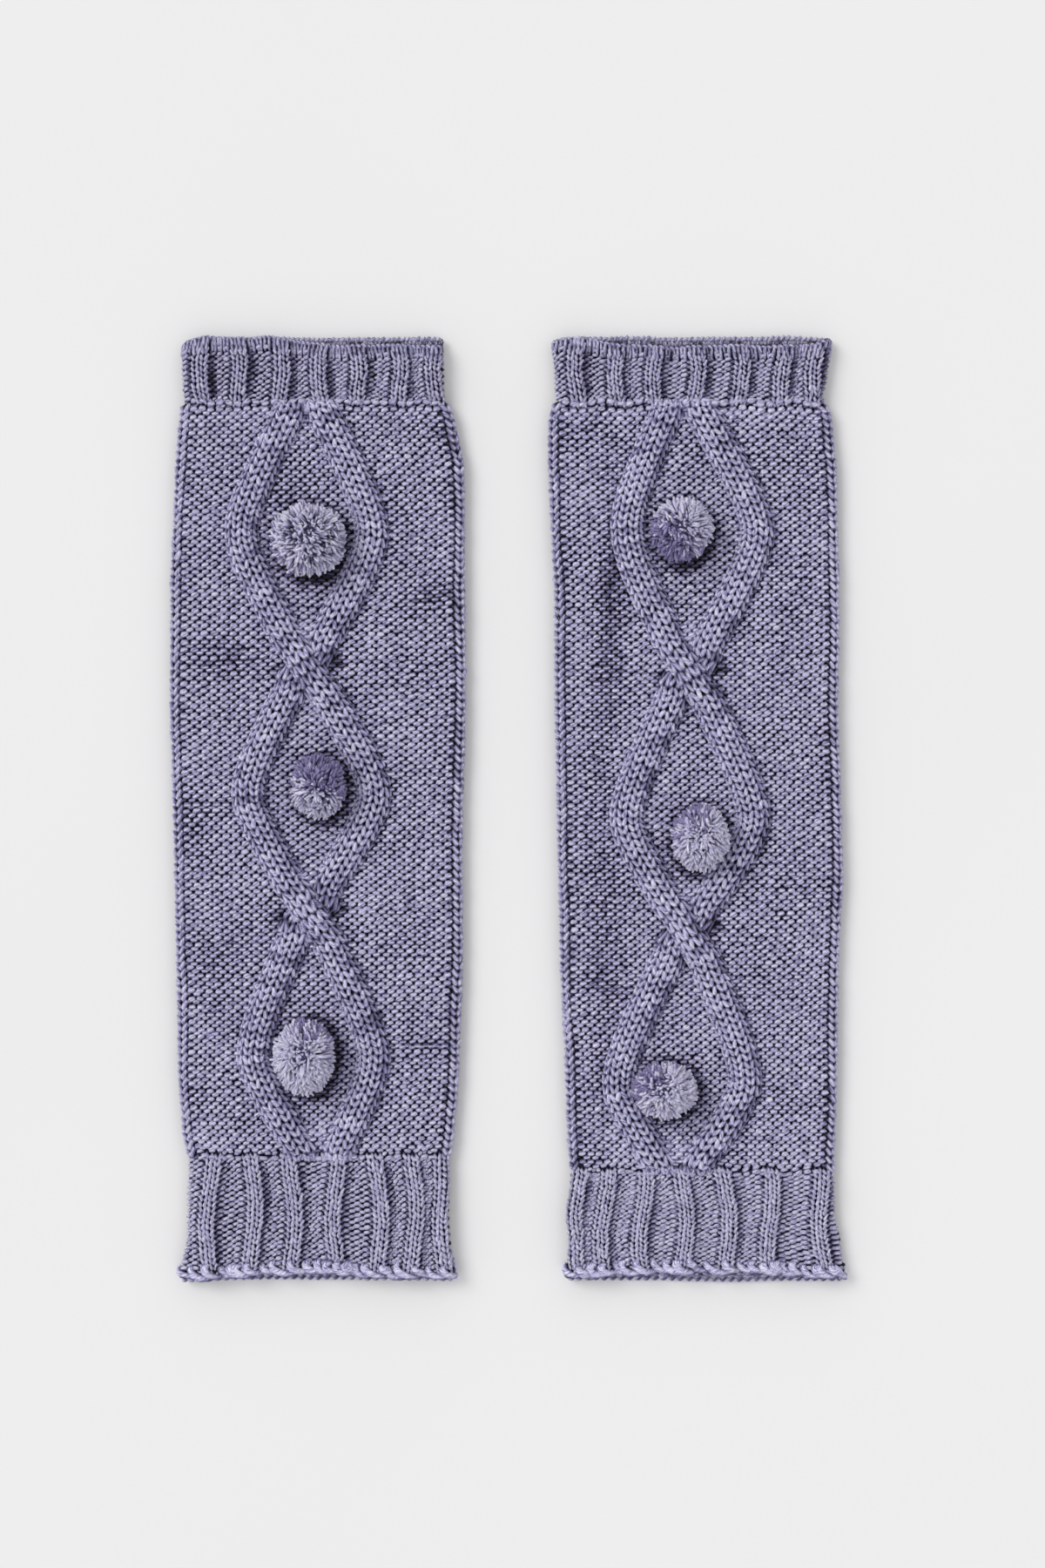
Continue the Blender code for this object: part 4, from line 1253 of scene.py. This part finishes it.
def pompom(side, warmer, index):
    """Tufts that leave the core, comb away from the tie and end on the ball's surface.

    Tips lie on a golden-angle spiral over an ellipsoid. A tuft runs back from its tip along a mix
    of the surface's direction, the way that leads away from the tie and a slow cowlick, and dips
    to the core. Tufts get painted shade deep in the ball, on its underside and round the tie. The
    higher fullness is, the less the tufts comb away from the tie and wander, the weaker the tie's
    painted shade and the lighter the whole ball is painted.
    """
    x, y, across, along, tall = warmer["pompoms"][index]
    dark_share, dark_at, tie_x, tie_y, tie_turn, fullness = POMPOM_WINDING[side][index]
    name = f"{side}_pompom_{index + 1}"
    seed = warmer["seed"] + 300 + index
    rng = np.random.default_rng(warmer["seed"] + 200 + index)
    count = TUFTS
    i = np.arange(count) + 0.5
    up = 1.0 - 1.78 * i / count
    spin = math.pi * (1.0 + math.sqrt(5.0)) * i
    flat = np.sqrt(limited(1.0 - up**2))
    spiral = np.stack([flat * np.cos(spin), flat * np.sin(spin), up], axis=1)
    normal = unit(spiral + rng.normal(0.0, 0.05, (count, 3)))
    nx, ny, nz = normal.T
    swell = 1.0 + 0.06 * waves(nx + 2.0 * nz, ny, seed, 1.1)
    tip = normal * (swell * rng.uniform(0.82, 1.04, count))[:, None]
    line = compass(tie_turn, 0.0)
    tie = np.array([tie_x, tie_y, 0.4])
    nearest = tie + line * np.clip((tip - tie) @ line, -0.2, 0.2)[:, None]
    licks = [waves(nx, ny + nz, seed + 10 + k + 2 * index, 0.7) for k in range(3)]
    cowlick = (1.1 - 0.3 * fullness) * np.stack(licks, axis=1)
    from_tie = (0.7 - 0.2 * fullness) * unit(tip - nearest)
    comb = unit(0.7 * normal + from_tie + cowlick + rng.normal(0.0, 0.24, (count, 3)))
    length = rng.uniform(0.4, 0.58, (count, 1, 1))
    s = np.linspace(0.0, 1.0, TUFT_RINGS)
    back = (1.0 - s)[None, :, None]
    path = tip[:, None, :] - comb[:, None, :] * length * back - normal[:, None, :] * 0.2 * back**2
    half = np.array([0.5 * across, 0.5 * along, 0.52 * tall])
    centre = np.array([x - PAIR_MIDDLE, y, POMPOM_SEAT + 0.47 * tall])
    place = path * half + centre
    place[..., 2] = np.maximum(place[..., 2], POMPOM_SEAT + 0.4)
    depth = np.linalg.norm(path, axis=-1)
    away = np.linalg.norm(tip - nearest, axis=-1)[:, None]
    # Painted shade: tufts deep in the ball, on its underside and round the tie are darker, with a random
    # tone for each tuft.
    below = limited((0.15 - normal[:, 2:]) / 0.9)
    out = -RISE_FLOOR + RISE_SPAN * limited((depth - 0.5) / 0.45) - 0.55 * below
    out = out + fullness - max(1.4 - 0.7 * fullness, 0.2) * bell(away / 0.28)
    out = out + rng.normal(0.0, 0.42, (count, 1))
    facing = rng.normal(0.0, 1.0, (count, 1, 3)).repeat(TUFT_RINGS, axis=1)
    size = 0.66 * np.array([0.8, 1.0, 1.1, 1.0])[None, :] * rng.uniform(0.75, 1.25, (count, 1))
    score = tip @ compass(dark_at, 0.1) + rng.normal(0.0, 0.33, count)
    is_dark = score > np.quantile(score, 1.0 - dark_share)
    made = []
    for label, pick, material in (("light", ~is_dark, light_pile), ("dark", is_dark, dark_pile)):
        tufts = strands(place[pick], facing[pick], size[pick], out[pick])
        made.append(spin_yarn(f"{name}_{label}_tufts", *tufts, 3, material, 0.85))
    ring, rise = 24, 14
    v = math.pi * (np.arange(1, rise) / rise)
    u = 2.0 * math.pi * np.arange(ring) / ring
    sines = np.outer(np.sin(v), np.cos(u)), np.outer(np.sin(v), np.sin(u))
    ball = np.stack([*sines, np.outer(np.cos(v), np.ones(ring))], axis=-1).reshape(-1, 3)
    ball = np.concatenate([ball, [[0.0, 0.0, 1.0], [0.0, 0.0, -1.0]]]) * CORE_SHARE * half + centre
    ball[:, 2] = np.maximum(ball[:, 2], POMPOM_SEAT)
    _, quads = tube_quads(rise - 1, ring)
    k = np.arange(ring)
    pole = np.full(ring, ring * (rise - 1))
    top = np.stack([pole, k, (k + 1) % ring], axis=1)
    last = (rise - 2) * ring
    bottom = np.stack([pole + 1, last + (k + 1) % ring, last + k], axis=1)
    corners = np.concatenate([quads.ravel(), top.ravel(), bottom.ravel()])
    starts = np.concatenate([4 * np.arange(len(quads)), 4 * len(quads) + 3 * np.arange(2 * ring)])
    flat_uv = 0.5 + 0.45 * (ball[corners] - centre)[:, :2] / half[:2] / CORE_SHARE
    faces_of = corners, starts
    made.append(mesh_object(f"{name}_core", ball, faces_of, pile_heart, {"fabric": flat_uv}))
    for piece in made:
        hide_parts(name)
        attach(piece, "root")


# Both warmers, piece by piece; the cloth and the yarn go under the same root.
for side, warmer in WARMERS.items():
    cloth = cloth_skin(side, warmer)
    worn = [
        leg_front(side, warmer),
        leg_cords(side, warmer),
        cuff_front(side, warmer, True),
        cuff_front(side, warmer, False),
        hem_piece(side, warmer),
        back_layer(side, warmer),
    ]
    for piece in [cloth] + worn:
        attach(piece, "root")
    for index in range(3):
        pompom(side, warmer, index)

# Floor
# A smooth pale board, lit softly.

floor_mesh = bpy.data.meshes.new("floor")
floor_mesh.from_pydata([(-2, -2, 0), (2, -2, 0), (2, 2, 0), (-2, 2, 0)], [], [(0, 1, 2, 3)])
floor = bpy.data.objects.new("floor", floor_mesh)
bpy.context.scene.collection.objects.link(floor)
# Pale board: an even grey-white, so faintly clouded that it reads as one tone
board, tree = new_material("pale_board")
where = {"Vector": add(tree, "ShaderNodeTexCoord").outputs["Object"]}
grain = add(tree, "ShaderNodeTexNoise", {"Scale": 3.0, "Detail": 2.0}, where).outputs[0]
tint = ramp(tree, grain, [(0.3, "#e7e7e7"), (0.7, "#e9e9e9")])
close_material(tree, {"Roughness": 0.8, "Specular IOR Level": 0.1}, {"Base Color": tint})
floor_mesh.materials.append(board)

# Camera and light
# Straight above, with a soft key from the upper left and even light all round.

scene = bpy.context.scene
world = bpy.data.worlds.new("studio")
world.use_nodes = True
sky = world.node_tree.nodes["Background"].inputs
sky["Color"].default_value = linear("#fdfdff")
sky["Strength"].default_value = 0.765
scene.world = world

key_data = bpy.data.lights.new("key", "SUN")
key_data.angle = math.radians(32.0)
key_data.energy = 1.3
key_data.color = (1.0, 0.985, 0.965)
key = bpy.data.objects.new("key", key_data)
key.location = (-1.0, 0.6, 1.3)
key.rotation_euler = Vector(key.location).to_track_quat("Z", "Y").to_euler()
scene.collection.objects.link(key)

CAMERA_HEIGHT = 1.36
CLOTH_MIDDLE = 0.006
VIEW_HEIGHT = 0.6642
SENSOR = 36.0
camera_data = bpy.data.cameras.new("camera")
camera_data.sensor_width = SENSOR
camera_data.lens = SENSOR * (CAMERA_HEIGHT - CLOTH_MIDDLE) / VIEW_HEIGHT
camera = bpy.data.objects.new("camera", camera_data)
camera.location = (0.00599, 0.01033, CAMERA_HEIGHT)
scene.collection.objects.link(camera)
scene.camera = camera
scene.view_settings.view_transform = "Standard"
